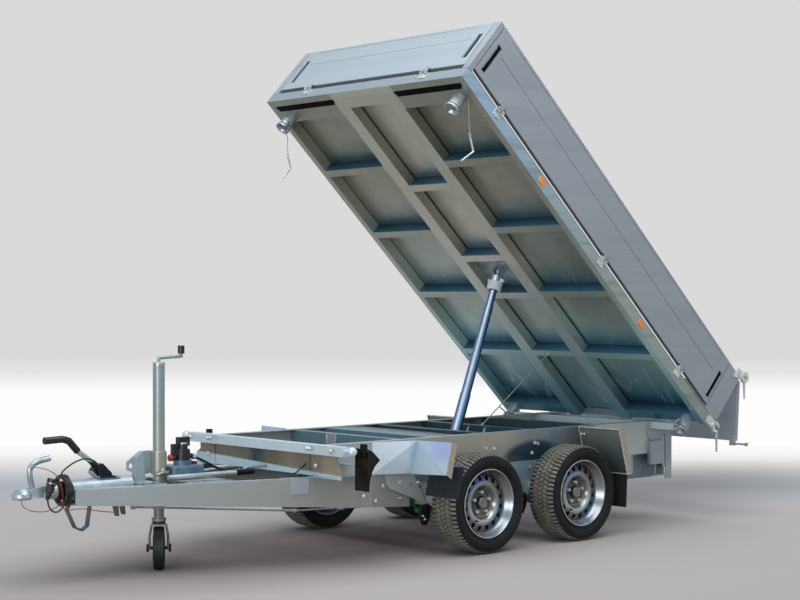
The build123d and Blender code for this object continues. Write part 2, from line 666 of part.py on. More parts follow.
def tailgate():
    """Hanging panel of two planks with a rim, hinge arms and pins, drawn plumb."""
    x1 = -GATE_BACK + GATE_T / 2
    x0 = x1 - GATE_T
    panel = block(x0, x1, -GATE_HALF, GATE_HALF, -GATE_LOW, -GATE_DROP)
    mid = -GATE_DROP - (BED_TOP - PLANK_H)
    for x in (x0, x1 - GROOVE):
        panel -= block(x, x + GROOVE, 30 - GATE_HALF, GATE_HALF - 30, mid - GROOVE / 2, mid + GROOVE / 2)
    for side in (1, -1):
        y0, y1 = sorted((side * (GATE_HALF - 30), side * GATE_HALF))
        panel += block(x0, 12, y0, y1, -44, -GATE_DROP) + block(-12, 12, y0, y1, -GATE_DROP, 12)
        panel += rod((0, side * GATE_HALF, 0), (0, side * (BED_HALF + LATCH_T + 2), 0), GATE_PIN_R)
        foot = block(x1, 10, y0, y1, -GATE_LOW + 4, -GATE_LOW + 32) + block(-14, 10, y0, y1, -412, -GATE_LOW + 4)
        panel += foot
        tip = BED_HALF + LATCH_T + 30
        panel += rod((-2, side * GATE_HALF, -400), (-2, side * tip, -400), 6)
        panel += rod((-2, side * (tip - 12), -400), (-2, side * tip, -400), 11)
    return panel


# ---------------------------------------------------------------- build
front_x, rear_x = WHEELBASE / 2, -WHEELBASE / 2
cradle_x0, cradle_x1 = MEMBERS[2] + MEMBER_X / 2, MEMBERS[1] - MEMBER_X / 2
cradle = plate_xz([(cradle_x0, 480), (cradle_x0, 590), (cradle_x0 + 60, 500), (RAM_X - 60, 450), (RAM_X + 60, 450),
                   (cradle_x1, 590), (cradle_x1, 480), (RAM_X + 45, 375), (RAM_X - 45, 375)],
                  CRADLE_Y, CRADLE_Y + CRADLE_T)
cradle -= rod((RAM_X, CRADLE_Y, RAM_Z), (RAM_X, CRADLE_Y + CRADLE_T, RAM_Z), TRUNNION_R + RAM_FIT)
add("cross_members", [cross_member(x, MEMBER_X) for x in MEMBERS] + [cross_member(DECK_X, DECK_W)])
rail = side_rail() + axle_bracket(front_x) + axle_bracket(rear_x)
add("rails", both(rail))
beams = []
for x, beam in ((BALL_X_FRONT, front_beam()), (PIVOT_X, rear_beam(BEAM_T))):
    beams.append(beam + ball_pin(x, BALL_Y) + ball_pin(x, -BALL_Y))
add("cross_beams", beams)
add("drawbar_beams", both(drawbar_beam()))
fish_plates = both(gusset()) + both(pivot_plate()) + [piece for shape in lamp_bracket() for piece in both(shape)]

add("axles", [axle(front_x), axle(rear_x)])
add("dampers", [piece for x in (front_x, rear_x) for piece in both(damper(x))])
for tag, x in (("front", front_x), ("rear", rear_x)):
    for hand, side in (("left", 1), ("right", -1)):
        add(f"tyre_{tag}_{hand}", tyre(x, side))
        add(f"rim_{tag}_{hand}", rim(x, side))

# drawbar head
housing = tube((HOUSING_REAR, 0, COUPLING_Z), (DRAW_FRONT_X, 0, COUPLING_Z), HOUSING_R, HOUSING_R - 12)
strap_out = [(2439, 386), (2441, 362), (2456, 338), (2412, 248), (2373, 229), (2338, 250), (2316, 386)]
strap_in = [(2433, 386), (2435, 360), (2449, 338), (2407, 254), (2373, 236), (2343, 254), (2322, 386)]
strap = plate_xz(strap_out, -15, 15) - plate_xz(strap_in, -15, 15)
hooks = [plate_xz([(x + 2, 386), (x + 42, 386), (x + 16, 288), (x - 8, 284)], y, y + 6)
         for x, y in ((2178, 12), (2122, -18))]
drum = rod((HOUSING_REAR, 0, COUPLING_Z), (DRAW_FRONT_X, 0, COUPLING_Z), HOUSING_R)
for piece in hooks + [strap]:
    housing += piece - drum
add("overrun_housing", housing)
bellows = rod((DRAW_FRONT_X, 0, COUPLING_Z), (BELLOWS_FRONT, 0, COUPLING_Z), 34)
pleat = (BELLOWS_FRONT - DRAW_FRONT_X) / PLEATS
for i in range(PLEATS):
    x = DRAW_FRONT_X + pleat * (i + 0.5)
    bellows += rod((x - pleat / 3, 0, COUPLING_Z), (x + pleat / 3, 0, COUPLING_Z), BELLOWS_R)
add("drawbar_bellows", bellows)
socket_top = SOCKET_Z + SOCKET_DEEP
head = Pos(HEAD_X, 0, 0) * spun([(0, SOCKET_Z), (HEAD_R, SOCKET_Z), (HEAD_R + 6, SOCKET_Z + 10),
                                 (HEAD_R + 4, SOCKET_Z + 26), (HEAD_R - 6, socket_top + 2),
                                 (HEAD_R - 22, socket_top + 11), (0, socket_top + 13)])
head += rod((BELLOWS_FRONT, 0, COUPLING_Z), (BELLOWS_FRONT + 45, 0, COUPLING_Z), 36)
head += prism([(BELLOWS_FRONT + 40, -30, 408), (BELLOWS_FRONT + 40, 30, 408), (BELLOWS_FRONT + 40, 26, 466),
               (BELLOWS_FRONT + 40, -26, 466)],
              [(HEAD_X - 30, -34, 408), (HEAD_X - 30, 34, 408), (HEAD_X - 30, 26, 450), (HEAD_X - 30, -26, 450)])
head -= rod((HEAD_X, 0, SOCKET_Z), (HEAD_X, 0, socket_top), SOCKET_R)
handle = swept([(2634, 0, 448), (2649, 0, 508), (2648, 0, 552), (2612, 0, 575), (2543, 0, 587)], 28)
add("coupling_head", head + handle)
quadrant = plate_xz([(2205, 478.2), (2300, 478.2), (2325, 505), (2300, 540), (2262, 545), (2215, 500)], -18, 18)
quadrant -= drum
lever = bar([(2280, 0, 520), (2330, 0, 566), (2392, 0, 610)], 13)
foot = plate_xz([(2170, 473), (2170, 482), (2295, 490), (2295, 479)], 22, 34)
brake_rod = bar([(2100, 44, 324), (1762, 44, 291), (1113, 44, 224), (800, 44, 214)], 5)
yoke = block(786, 800, -70, 70, 206, 222)
rod_guide = block(2100, 2108, 20, 54, 314, 400) - drum
add("brake_linkage", [quadrant + lever, foot, brake_rod + yoke + rod_guide])
grip = bar([(2392, 0, 610), (2440, 0, 662), (2475, 0, 672), (2572, 0, 669)], 17)
knob = rod((CRANK_X, 0, KNOB_TOP - 40), (CRANK_X, 0, KNOB_TOP), 17)
add("hand_grips", [grip, knob])

# jockey wheel
fit = 0.3
slope = (RAIL_OUT - DRAW_FRONT_Y) / (DRAW_FRONT_X - DRAW_BEND_X)


def inner_face(x):
    """Half width between the beams of the V at x."""
    return DRAW_FRONT_Y + (DRAW_FRONT_X - x) * slope - DRAW_W - 4


bridge = block(1986, 2098, -150, 150, DRAW_TOP, DRAW_TOP + 6)
collar = tube((JOCKEY_X, 0, 470), (JOCKEY_X, 0, 580), MAST_R + 9, MAST_R + fit)
arm = plate_xz([(JOCKEY_X + 34, 478), (JOCKEY_X + 34, 588), (2030, 588), (2104, 540), (2104, 500), (2030, 470)], -24, -14)
web = plate_xz([(2017, DRAW_TOP + 6), (2084, DRAW_TOP + 6), (2068, 560), (2030, 590)], -14, 14)
arm -= rod((2082, -24, 519), (2082, -14, 519), 13)
clamp = bridge + collar + arm + web - rod((JOCKEY_X, 0, 400), (JOCKEY_X, 0, 600), MAST_R + fit)
clamp_handle = rod((JOCKEY_X + 10, 30, 490), (JOCKEY_X + 10, 50, 490), 9) + block(JOCKEY_X - 24, JOCKEY_X + 56, 46, 54, 476, 490)
add("jockey_clamp", clamp + clamp_handle - rod((JOCKEY_X, 0, 400), (JOCKEY_X, 0, 600), MAST_R + fit))
mast = tube((JOCKEY_X, 0, MAST_LOW), (JOCKEY_X, 0, MAST_TOP), MAST_R, MAST_R - 3)
mast += rod((JOCKEY_X, 0, MAST_TOP - 6), (JOCKEY_X, 0, MAST_TOP), MAST_R)
crank = bar([(JOCKEY_X, 0, MAST_TOP - 2), (JOCKEY_X, 0, MAST_TOP + 22), (CRANK_X, 0, MAST_TOP + 28)], 8)
crank += rod((CRANK_X, 0, MAST_TOP + 20), (CRANK_X, 0, KNOB_TOP - 40), 8)
add("jockey_mast", mast + crank)
turn = Pos(JOCKEY_X, 0, 0) * Rot(0, 0, JOCKEY_SWIVEL)
crown = 2 * JOCKEY_R + 6
fork = rod((0, 0, crown), (0, 0, 480), MAST_R - 4.5) + rod((0, 0, crown + 22), (0, 0, crown + 36), 36)
fork += block(-24, 24, -38, 38, crown, crown + 8)
for side in (1, -1):
    head_end = [(24, side * 31, crown + 8), (-24, side * 31, crown + 8), (-24, side * 38, crown + 8),
                (24, side * 38, crown + 8)]
    knee = [(18, side * 42, 165), (-18, side * 42, 165), (-18, side * 49, 165), (18, side * 49, 165)]
    fork += prism(head_end, knee)
    y0, y1 = sorted((side * 42, side * 49))
    fork += plate_xz([(-18, 165), (18, 165), (14, JOCKEY_R - 12), (-14, JOCKEY_R - 12)], y0, y1)
fork -= rod((0, -60, JOCKEY_R), (0, 60, JOCKEY_R), 8.2)
add("jockey_fork", turn * fork)
w = JOCKEY_W / 2
caster = spun([(0, -w), (64, -w), (68, 4 - w), (JOCKEY_R - 8, -w + 2), (JOCKEY_R, -w + 8), (JOCKEY_R, w - 8),
               (JOCKEY_R - 8, w - 2), (68, w - 4), (64, w), (0, w)], Axis.Y)
caster += rod((0, -56, 0), (0, 56, 0), 8)
for side in (1, -1):
    caster += rod((0, side * 50, 0), (0, side * 56, 0), 14)
add("jockey_wheel", turn * Pos(0, 0, JOCKEY_R) * caster)

# hand pump
half_x = TANK_HALF_X
rear_half, front_half = inner_face(PUMP_X - half_x) + 40, inner_face(PUMP_X + half_x) + 40
plate = face_of([(PUMP_X - half_x - 30, -rear_half, DRAW_TOP), (PUMP_X + half_x + 4, -front_half, DRAW_TOP),
                 (PUMP_X + half_x + 4, front_half, DRAW_TOP), (PUMP_X - half_x - 30, rear_half, DRAW_TOP)])
pump_plate = extrude(plate, amount=PLATE_T, dir=(0, 0, 1))
for x in (PUMP_X - 60, PUMP_X + 60):
    pump_plate += block(x - 10, x + 10, -50, 50, DRAW_TOP + PLATE_T, TANK_Z)
tank = block(PUMP_X - half_x, PUMP_X + half_x, -66, 66, TANK_Z, TANK_Z + TANK_H)
tank = fillet(tank.edges().filter_by(Axis.Z), 28)
tank_top = TANK_Z + TANK_H
add("pump_tank", fillet(tank.faces().sort_by(Axis.Z)[-1].edges(), 12) + rod(
    (PUMP_X, 0, tank_top - 1), (PUMP_X, 0, tank_top + 22), 46))
pump = rod((PUMP_X, 0, tank_top + 22), (PUMP_X, 0, 585), 38) + rod((PUMP_X, 0, 585), (PUMP_X, 0, 612), 26)
pump += block(PUMP_X - 34, PUMP_X + 30, -16, 16, 600, 645) + rod((PUMP_X - 20, 0, 558), (PUMP_X - 60, 0, 545), 13)
pump += block(PUMP_X + 34, PUMP_X + 62, -14, 14, 560, 612) + rod((PUMP_X + 30, 0, 545), (PUMP_X + 52, 0, 545), 9)
add("pump_body", pump + rod((PUMP_X + 50, 0, 545), (PUMP_X + 76, 0, 545), 16))
lever_z = DRAW_TOP + PLATE_T + 16.5
add("pump_lever", rod((1930, 80, lever_z), (1530, 96, lever_z), 13) + rod(
    (1535, 95.8, lever_z), (1425, 100, lever_z), 16))

# mudguards
inner = RAIL_OUT + 0.2
back = (-0.7071, -0.7071, 0)
p1, p2 = (700, 550, GUARD_TOP), (686, GUARD_OUT, GUARD_TOP + 2)
p3, p4 = (700, GUARD_OUT - 26, GUARD_LOW + 12), (700, 498, GUARD_LOW)
crease = (695, GUARD_OUT - 17, 499)
root_top, root_low = (950, inner + 3, GUARD_TOP), (950, inner + 3, RAIL_LOW)
wing_top, wing_low = (648, GUARD_OUT, GUARD_TOP - 11), (664, GUARD_OUT - 26, GUARD_LOW - 12)
front_guard = folded([(p1, root_top, root_low), (p1, root_low, p4), (p1, p4, p3), (p1, p3, crease), (p1, crease, p2),
                      (p2, crease, wing_top), (crease, wing_low, wing_top), (crease, p3, wing_low)], back, GUARD_T)
r1, r2 = (REAR_GUARD_X, inner + 3, GUARD_TOP), (REAR_GUARD_X, GUARD_OUT - 5, GUARD_TOP)
r3, r4 = (-690, GUARD_OUT - 5, REAR_GUARD_LOW), (-690, inner + 3, REAR_GUARD_LOW)
r5, r6 = (-728, GUARD_OUT - 5, REAR_GUARD_LOW), (-660, GUARD_OUT - 5, GUARD_TOP)
rear_guard = folded([(r1, r2, r3), (r1, r3, r4), (r2, r6, r5), (r2, r5, r3)], back, GUARD_T)
add("mudguards", both(front_guard) + both(rear_guard))
front_flap = plate_xz([(596, 470), (602, 470), (644, 312), (638, 312)], 545, GUARD_OUT)
rear_flap = plate_xz([(-700, 360), (-694, 360), (-684, 160), (-690, 160)], 575, 772)
add("mud_flaps", both(front_flap) + both(rear_flap))

# wheel chocks on their holders
wedge = [(1171, 382), (1164, 382), (1160, 425), (1148, 470), (1126, 505), (1092, 534), (1140, 578), (1171, 592)]
chock = plate_xz(wedge, 600, 700) + block(1145, 1168, 635, 665, 585, 614)
for y in (606, 642, 678):
    chock -= block(1120, 1171, y, y + 18, 545, 575)
add("wheel_chocks", both(chock))
fish_plates += both(block(1125, 1165, RAIL_OUT, 600, 500, 505) + block(1125, 1165, 594, 600, 440, 500))
add("rear_lamps", both(block(CHASSIS_REAR - 14, CHASSIS_REAR, 405, 470, 330, 520)))

# cords at the coupling, and the pump's hose
plug_route = [(2286, 24, 492), (2288, 28, 520), (2302, 32, 548), (2330, 34, 568), (2368, 34, 577),
              (2408, 32, 570), (2446, 28, 553), (2476, 20, 530), (2490, 12, 506)]
add("plug_cable", cord("plug_cable", plug_route, 8))
lead_route = [(2497, 70, 394), (2507, 72, 372), (2524, 72, 350), (2546, 71, 339), (2568, 70, 344),
              (2584, 68, 362), (2591, 66, 384), (2592, 64, 406)]
add("plug_lead", cord("plug_lead", lead_route, 8))
plug_low, plug_top = Vector(2592, 64, 406), Vector(2566, 64, 497)
along = (plug_top - plug_low).normalized()
plug = rod(plug_low, plug_low + along * 24, 13) + rod(plug_low + along * 20, plug_low + along * 62, 20)
plug += rod(plug_low + along * 58, plug_top, 23)
coil = tube((COIL_X, 0, COUPLING_Z), (COIL_X + COIL_W, 0, COUPLING_Z), COIL_R, COIL_R - 17)
add("plug_and_coil", [plug, coil])
red_route = [(2652, 13, 540), (2648, 30, 553), (2618, 46, 550), (2582, 58, 538), (2549, 62, 518), (2527, 62, 487),
             (2513, 62, 446), (2507, 60, 402), (2506, 54, 370), (2494, 44, 347), (2464, 34, 337),
             (2420, 26, 340), (2366, 20, 337), (2308, 18, 324), (2254, 16, 312), (2192, 15, 305)]
add("breakaway_cable", cord("breakaway_cable", red_route, 4))
safety_route = [(2714, 34, 414), (2718, 42, 400), (2714, 43, 384), (2698, 42, 368), (2672, 40, 355),
                (2640, 36, 347), (2604, 30, 342), (2568, 20, 341), (2536, 8, 345), (2496, 0, 358)]
add("ring_cable", cord("ring_cable", safety_route, 4))
hose_route = [(1729, 0, 545), (1690, 0, 531), (1651, 0, 513), (1612, 0, 493), (1572, 0, 475),
              (1531, 0, 462), (1490, 0, 454), (1450, 0, 451)]
add("pump_hose", cord("pump_hose", hose_route, 14))
pipe = rod((1430, 0, 451), (1450, 0, 451), 13) + bar([(1430, 0, 451), (1390, 0, PIPE_Z), (120, 0, PIPE_Z)], 6)
clip_x = MEMBERS[1]
pipe += block(clip_x - 20, clip_x + 36, -12, 12, PIPE_Z - 10, RAIL_TOP - RAIL_T - MEMBER_H)
add("chassis_plates", fish_plates + both(cradle) + [pump_plate, pipe])

# bed
add("bed_rails", edge_profile(0, BED_L) + mirrored(edge_profile(0, BED_L)) + front_profile() + rear_profile(), BED)
long_beam = channel(SHEET, BED_L - BED_RAIL_W, LONG_IN, LONG_OUT, True)
add("bed_beams", both(long_beam), BED)
bars = []
side_in = BED_HALF - BED_RAIL_W
for a in (585.0, 1110.0, 1634.0, 2150.0):
    bars += both(channel(a - 25, a + 25, LONG_OUT, side_in, False))
bars += both(channel(BED_L - 164, BED_L - 68, LONG_OUT, side_in, False))
bars += both(channel(24, 92, LONG_OUT, side_in, False))
for a in (591.0, 1100.0, 1415.0, 1990.0, BED_L - 90):
    bars.append(channel(a - 25, a + 25, -LONG_IN, LONG_IN, False))
add("bed_cross_members", bars, BED)
top = FLOOR_Z + FLOOR_T
floor = block(0, BED_L - SILL_IN - SILL_T, -BED_HALF + POST_W, BED_HALF - POST_W, FLOOR_Z, top)
add("bed_floor", floor, BED)
front_post = block(BED_L - POST_FRONT, BED_L, BED_HALF - POST_W, BED_HALF, BED_RAIL_H, BED_TOP)
add("corner_posts", both(rear_post()) + both(front_post), BED)
cups = [BED * cup for a in (CUP_A, PIVOT_A) for cup in both(ball_cup(a))]
for name, side, a, y, h, route in (
        ("pin_lanyard_left", 1, BED_L - 150, 745, 0.0,
         [(524, 746, 2322), (521, 745, 2277), (520, 744, 2232), (514, 745, 2188)]),
        ("pin_lanyard_right", -1, BED_L - 167, -712, -CUP_DEEP + 4,
         [(551, -716, 2268), (553, -719, 2228), (551, -720, 2196), (549, -719, 2166)])):
    start = (BED * Pos(a, y, h)).position
    add(name, cord(name, [(start.X, start.Y, start.Z)] + route, 4))
left_pin = loose_pin((514, 745, 2188), (489, 745, 2094), (576, 745, 2042))
right_pin = loose_pin((549, -720, 2166), (529, -720, 2088), (582, -720, 2027))
add("cup_pins", [left_pin, right_pin] + [BED * pin for pin in both(locking_pin())])
add("wall_hinges", [piece for a in SIDE_HINGES for piece in both(hinge_base(a))]
    + [TURN_FRONT * hinge_base(-y) for y in FRONT_HINGES], BED)
handles = [hanging_handle(GATE_A - 8, GATE_H - 40, 95), hanging_handle(-90, 20, 118)]
latches = [BED * latch + handle for latch, handle in zip(gate_latches(), handles)]
add("gate_latches", [piece for latch in latches for piece in both(latch)])
add("side_reflectors", [piece for a in REFLECTORS
                        for piece in both(block(a - 26, a + 26, BED_HALF, BED_HALF + 3, 18, 54))], BED)
socket = block(SOCKET_A - 90, SOCKET_A + 90, -LONG_IN, LONG_IN, FLOOR_Z - 8, FLOOR_Z)
socket += rod((SOCKET_A, 0, FLOOR_Z - SEAT_LOW), (SOCKET_A, 0, FLOOR_Z - 8), 62)
for y in (RAM_BALL_R + 1.5, -RAM_BALL_R - 1.5 - CHEEK_T):
    socket += block(SOCKET_A - 24, SOCKET_A + 24, y, y + CHEEK_T, SOCKET_H - RAM_BALL_R, FLOOR_Z - SEAT_LOW)
add("bed_sockets", cups + [BED * socket])
add("wall_left", side_wall(), BED)
add("wall_right", mirrored(side_wall()), BED)
add("wall_front", front_wall(), BED)
gate_pin = BED * Pos(GATE_A, 0, GATE_H)
gx, gz = gate_pin.position.X, gate_pin.position.Z
add("tailgate", tailgate(), Pos(gx, 0, gz) * Rot(0, -GATE_LEAN, 0))

# ram, in its own axis from the trunnion up to the ball
ball = BED * Pos(SOCKET_A, 0, SOCKET_H)
reach = hypot(ball.position.X - RAM_X, ball.position.Z - RAM_Z)
lean = degrees(atan2(RAM_X - ball.position.X, ball.position.Z - RAM_Z))
RAM = Pos(RAM_X, 0, RAM_Z) * Rot(0, -lean, 0)
barrel = tube((0, 0, -RAM_FOOT), (0, 0, RAM_TOPS[0]), RAM_RADII[0], RAM_RADII[1] + RAM_FIT)
barrel += rod((0, 0, -RAM_FOOT), (0, 0, 8 - RAM_FOOT), RAM_RADII[0])
for side in (1, -1):
    barrel += rod((0, side * (RAM_RADII[0] - 4), 0), (0, side * (CRADLE_Y + CRADLE_T + 4), 0), TRUNNION_R)
add("ram_barrel", barrel, RAM)
last = len(RAM_TOPS) - 1
for i in range(1, last + 1):
    low, high = RAM_TOPS[i - 1] - RAM_LAP, RAM_TOPS[i]
    add(f"ram_stage_{i}", tube((0, 0, low), (0, 0, high), RAM_RADII[i], RAM_RADII[i + 1] + RAM_FIT), RAM)
piston = rod((0, 0, RAM_TOPS[last] - RAM_LAP), (0, 0, reach - RAM_COLLAR[0]), RAM_RADII[last + 1])
piston += rod((0, 0, reach - RAM_COLLAR[1]), (0, 0, reach - RAM_COLLAR[0]), 40)
piston += rod((0, 0, reach - RAM_COLLAR[0]), (0, 0, reach), 11) + Pos(0, 0, reach) * Sphere(RAM_BALL_R)
add("ram_rod", piston, RAM)

# ---------------------------------------------------------------- place and write
everything = Compound([solid for solids in parts.values() for solid in solids])
box = everything.bounding_box()
shift = Vector(-(box.min.X + box.max.X) / 2, -(box.min.Y + box.max.Y) / 2, -box.min.Z)
os.makedirs("parts", exist_ok=True)
for name, solids in parts.items():
    moved = [Pos(*shift) * solid for solid in solids]
    export_step(Compound(moved), f"parts/{name}.step")
print("shift", [round(v, 4) for v in shift], "size", [round(v, 2) for v in box.size])
print("ram reach", round(reach, 3), "lean", round(lean, 4))
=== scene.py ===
"""Looks of the tipper trailer: materials, fittings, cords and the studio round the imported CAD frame."""
import json
import math

import bpy
import bmesh
from mathutils import Matrix, Vector


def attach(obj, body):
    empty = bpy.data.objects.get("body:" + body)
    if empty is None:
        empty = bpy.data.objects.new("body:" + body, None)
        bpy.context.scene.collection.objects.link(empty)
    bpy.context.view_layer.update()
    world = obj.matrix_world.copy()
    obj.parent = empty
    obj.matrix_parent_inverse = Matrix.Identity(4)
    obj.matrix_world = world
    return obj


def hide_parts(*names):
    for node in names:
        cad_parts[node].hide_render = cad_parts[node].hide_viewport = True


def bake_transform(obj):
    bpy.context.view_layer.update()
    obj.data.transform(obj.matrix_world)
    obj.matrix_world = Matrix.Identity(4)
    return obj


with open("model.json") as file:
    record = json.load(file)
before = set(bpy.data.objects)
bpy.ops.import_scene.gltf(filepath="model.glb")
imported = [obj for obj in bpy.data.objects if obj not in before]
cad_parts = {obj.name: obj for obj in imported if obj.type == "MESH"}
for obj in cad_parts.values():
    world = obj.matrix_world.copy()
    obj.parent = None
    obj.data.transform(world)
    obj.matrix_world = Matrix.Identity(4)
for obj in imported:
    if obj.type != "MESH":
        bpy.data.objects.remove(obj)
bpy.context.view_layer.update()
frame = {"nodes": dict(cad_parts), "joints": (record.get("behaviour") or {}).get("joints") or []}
nodes = frame["nodes"]
joints = {j["name"]: j for j in frame["joints"]}

# the drawing's datum lies on the ground, midway between the axles; its sizes are in millimetres
WHEEL_X, WHEEL_Y, WHEEL_Z = 365.0, 656.0, 262.5      # a front left wheel's centre in the drawing
DATUM = (Vector(joints["wheel_front_left_spin"]["pos_m"])
         - Vector((WHEEL_X / 1000, WHEEL_Y / 1000, WHEEL_Z / 1000)))
TIP = math.radians(43.28)
BED_LENGTH = 2.73
JOCKEY_X = 1930.0
VIEW_YAW, VIEW_PITCH = math.radians(227.88), math.radians(-0.15)
CAMERA_PLACE = (6734, 7086, 1350)
LENS = 77.4
AHEAD, LEFT, RIGHT, UP = (1, 0, 0), (0, 1, 0), (0, -1, 0), (0, 0, 1)


def at(x, y, z):
    """A point of the drawing, given in millimetres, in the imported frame."""
    return DATUM + Vector((x, y, z)) / 1000


# bed coordinates: along from its rear edge, across, and up from its underside
BED = (Matrix.Translation(at(-1279, 0, 585)) @ Matrix.Rotation(-TIP, 4, "Y")
       @ Matrix.Translation(Vector((-47, 0, 58)) / 1000))


def on_bed(a, y, h):
    """A point in bed coordinates, given in millimetres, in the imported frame."""
    return BED @ (Vector((a, y, h)) / 1000)


BED_TURN = (0, TIP, 0)       # turns object coordinates into the tipped bed's directions
BED_FRONT = (math.cos(TIP), 0, math.sin(TIP))
BED_UP = (-math.sin(TIP), 0, math.cos(TIP))


def add(name, data):
    """A new object in the scene."""
    obj = bpy.data.objects.new(name, data)
    bpy.context.scene.collection.objects.link(obj)
    return obj


# ---------------------------------------------------------------- camera
def make_camera():
    """The camera stands ahead of the trailer on its left, a little above the drawbar."""
    data = bpy.data.cameras.new("camera")
    data.sensor_width = 36.0
    data.lens = LENS
    data.clip_end = 400
    cam = add("camera", data)
    cam.location = at(*CAMERA_PLACE)
    flat = math.cos(VIEW_PITCH)
    look = Vector((math.cos(VIEW_YAW) * flat, math.sin(VIEW_YAW) * flat, math.sin(VIEW_PITCH)))
    cam.rotation_euler = look.to_track_quat("-Z", "Y").to_euler()
    bpy.context.scene.camera = cam


make_camera()


# ---------------------------------------------------------------- node trees
def srgb(r, g, b):
    """A colour written as 0..255 display values."""
    return tuple((c / 255 / 12.92) if c <= 10.3 else ((c / 255 + 0.055) / 1.055) ** 2.4 for c in (r, g, b))


class Tree:
    """A short way to write shader trees."""

    def __init__(self, tree):
        self.tree = tree
        self.coord = None

    def feed(self, socket, value):
        if isinstance(value, bpy.types.NodeSocket):
            self.tree.links.new(value, socket)
        else:
            socket.default_value = value

    def new(self, kind, values=None, **props):
        node = self.tree.nodes.new("ShaderNode" + kind)
        for key, value in props.items():
            setattr(node, key, value)
        for key, value in (values or {}).items():
            self.feed(node.inputs[key], value)
        return node

    def place(self, scale=(1, 1, 1), turn=(0, 0, 0), move=(0, 0, 0)):
        """Object coordinates, scaled, turned and moved."""
        if self.coord is None:
            self.coord = self.new("TexCoord").outputs["Object"]
        return self.new("Mapping", {"Vector": self.coord, "Scale": scale, "Rotation": turn,
                                    "Location": move}).outputs[0]

    def split(self, vector):
        """The x, y and z of a vector."""
        return self.new("SeparateXYZ", {"Vector": vector}).outputs

    def noise(self, vector, scale, detail=3.0, rough=0.55, distort=0.0):
        return self.new("TexNoise", {"Vector": vector, "Scale": scale, "Detail": detail, "Roughness": rough,
                                     "Distortion": distort}).outputs["Fac"]

    def length(self, vector):
        return self.new("VectorMath", {0: vector}, operation="LENGTH").outputs["Value"]

    def spread(self, value, low, high, to_low=0.0, to_high=1.0, smooth=False):
        """The stretch of a value from low to high, carried to another stretch and held at its ends."""
        node = self.new("MapRange", {"Value": value, "From Min": low, "From Max": high, "To Min": to_low,
                                     "To Max": to_high})
        if smooth:
            node.interpolation_type = "SMOOTHSTEP"
        return node.outputs["Result"]

    def ease(self, value, low, high):
        """0 below low, 1 above high and a soft step between."""
        return self.spread(value, low, high, smooth=True)

    def mix(self, fac, a, b, blend="MIX"):
        node = self.new("Mix", data_type="RGBA", blend_type=blend)
        for index, value in ((0, fac), (6, a), (7, b)):
            self.feed(node.inputs[index], (*value, 1) if isinstance(value, tuple) else value)
        return node.outputs[2]

    def tint(self, fac, tone, colour):
        """A tone multiplied by a linear colour, as far as the factor says."""
        return self.mix(fac, tone, self.mix(1.0, tone, colour, "MULTIPLY"))

    def math(self, kind, a, b=0.0):
        return self.new("Math", {0: a, 1: b}, operation=kind).outputs[0]

    def times(self, first, *others):
        for other in others:
            first = self.math("MULTIPLY", first, other)
        return first

    def ramp(self, value, stops):
        """A ramp; each stop is a position with three display values of 0..255 or with one linear grey."""
        node = self.new("ValToRGB", {"Fac": value})
        ramp = node.color_ramp
        while len(ramp.elements) < len(stops):
            ramp.elements.new(0.5)
        for element, (position, *colour) in zip(ramp.elements, stops):
            element.position = position
            element.color = (*(srgb(*colour) if len(colour) == 3 else colour * 3), 1)
        return node.outputs["Color"]


MATERIALS = {}


def material(name, base, rough, metallic=0.0, other=None, cloud=3.0, stretch=(1, 1, 1), turn=(0, 0, 0),
             grain=260.0, bump=0.0003, rough_spread=0.05, spangle=0.0, coat=0.0, edge=0.0012, dirt=0.0,
             colour=None, specular=0.5, contrast=0.18):
    """A procedural finish: two tones in clouds, fine grain in tone, gloss and height, rounded edges.

    base and other are display values of 0..255; colour is a function that paints over the clouds.
    """
    mat = bpy.data.materials.new(name)
    mat.use_nodes = True
    t = Tree(mat.node_tree)
    inputs = mat.node_tree.nodes["Principled BSDF"].inputs
    base = srgb(*base)
    other = srgb(*other) if other else tuple(c * 0.78 for c in base)
    clouds = t.noise(t.place(stretch, turn), cloud, 4.0, 0.6, 0.4)
    tone = t.mix(t.ease(clouds, 0.5 - contrast, 0.5 + contrast), base, other)
    if colour:
        tone = colour(t, tone)
    fine = t.noise(t.place(stretch, turn, (3, 1, 2)), grain, 2.0, 0.6)
    tone = t.tint(t.spread(fine, 0.3, 0.7, 0.0, 0.22), tone, (0.62, 0.62, 0.62))
    if spangle:
        cell = t.new("TexVoronoi", {"Vector": t.place(), "Scale": 240.0, "Randomness": 1.0}).outputs["Color"]
        grey = t.new("RGBToBW", {"Color": cell}).outputs[0]
        tone = t.tint(t.spread(grey, 0.2, 0.8, 0.0, spangle), tone, (0.55, 0.58, 0.62))
    if dirt:
        low = t.noise(t.place(move=(5, 5, 5)), 9.0, 5.0, 0.65)
        tone = t.mix(t.spread(low, 0.5, 0.72, 0.0, dirt), tone, srgb(92, 84, 72))
    gloss = t.noise(t.place(stretch, turn, (7, 2, 5)), cloud * 4, 1.0, 0.4)
    rounded = t.new("Bevel", {"Radius": edge}, samples=4).outputs[0]
    relief = t.new("Bump", {"Height": fine, "Distance": bump, "Strength": 0.22,
                            "Normal": rounded}).outputs[0]
    settings = {
        "Base Color": tone, "Metallic": metallic, "Specular IOR Level": specular, "Normal": relief,
        "Roughness": t.spread(gloss, 0.3, 0.7, max(0.03, rough - rough_spread), rough + rough_spread)}
    if coat:
        settings |= {"Coat Weight": coat, "Coat Roughness": 0.12}
    for key, value in settings.items():
        t.feed(inputs[key], value)
    MATERIALS[name] = mat


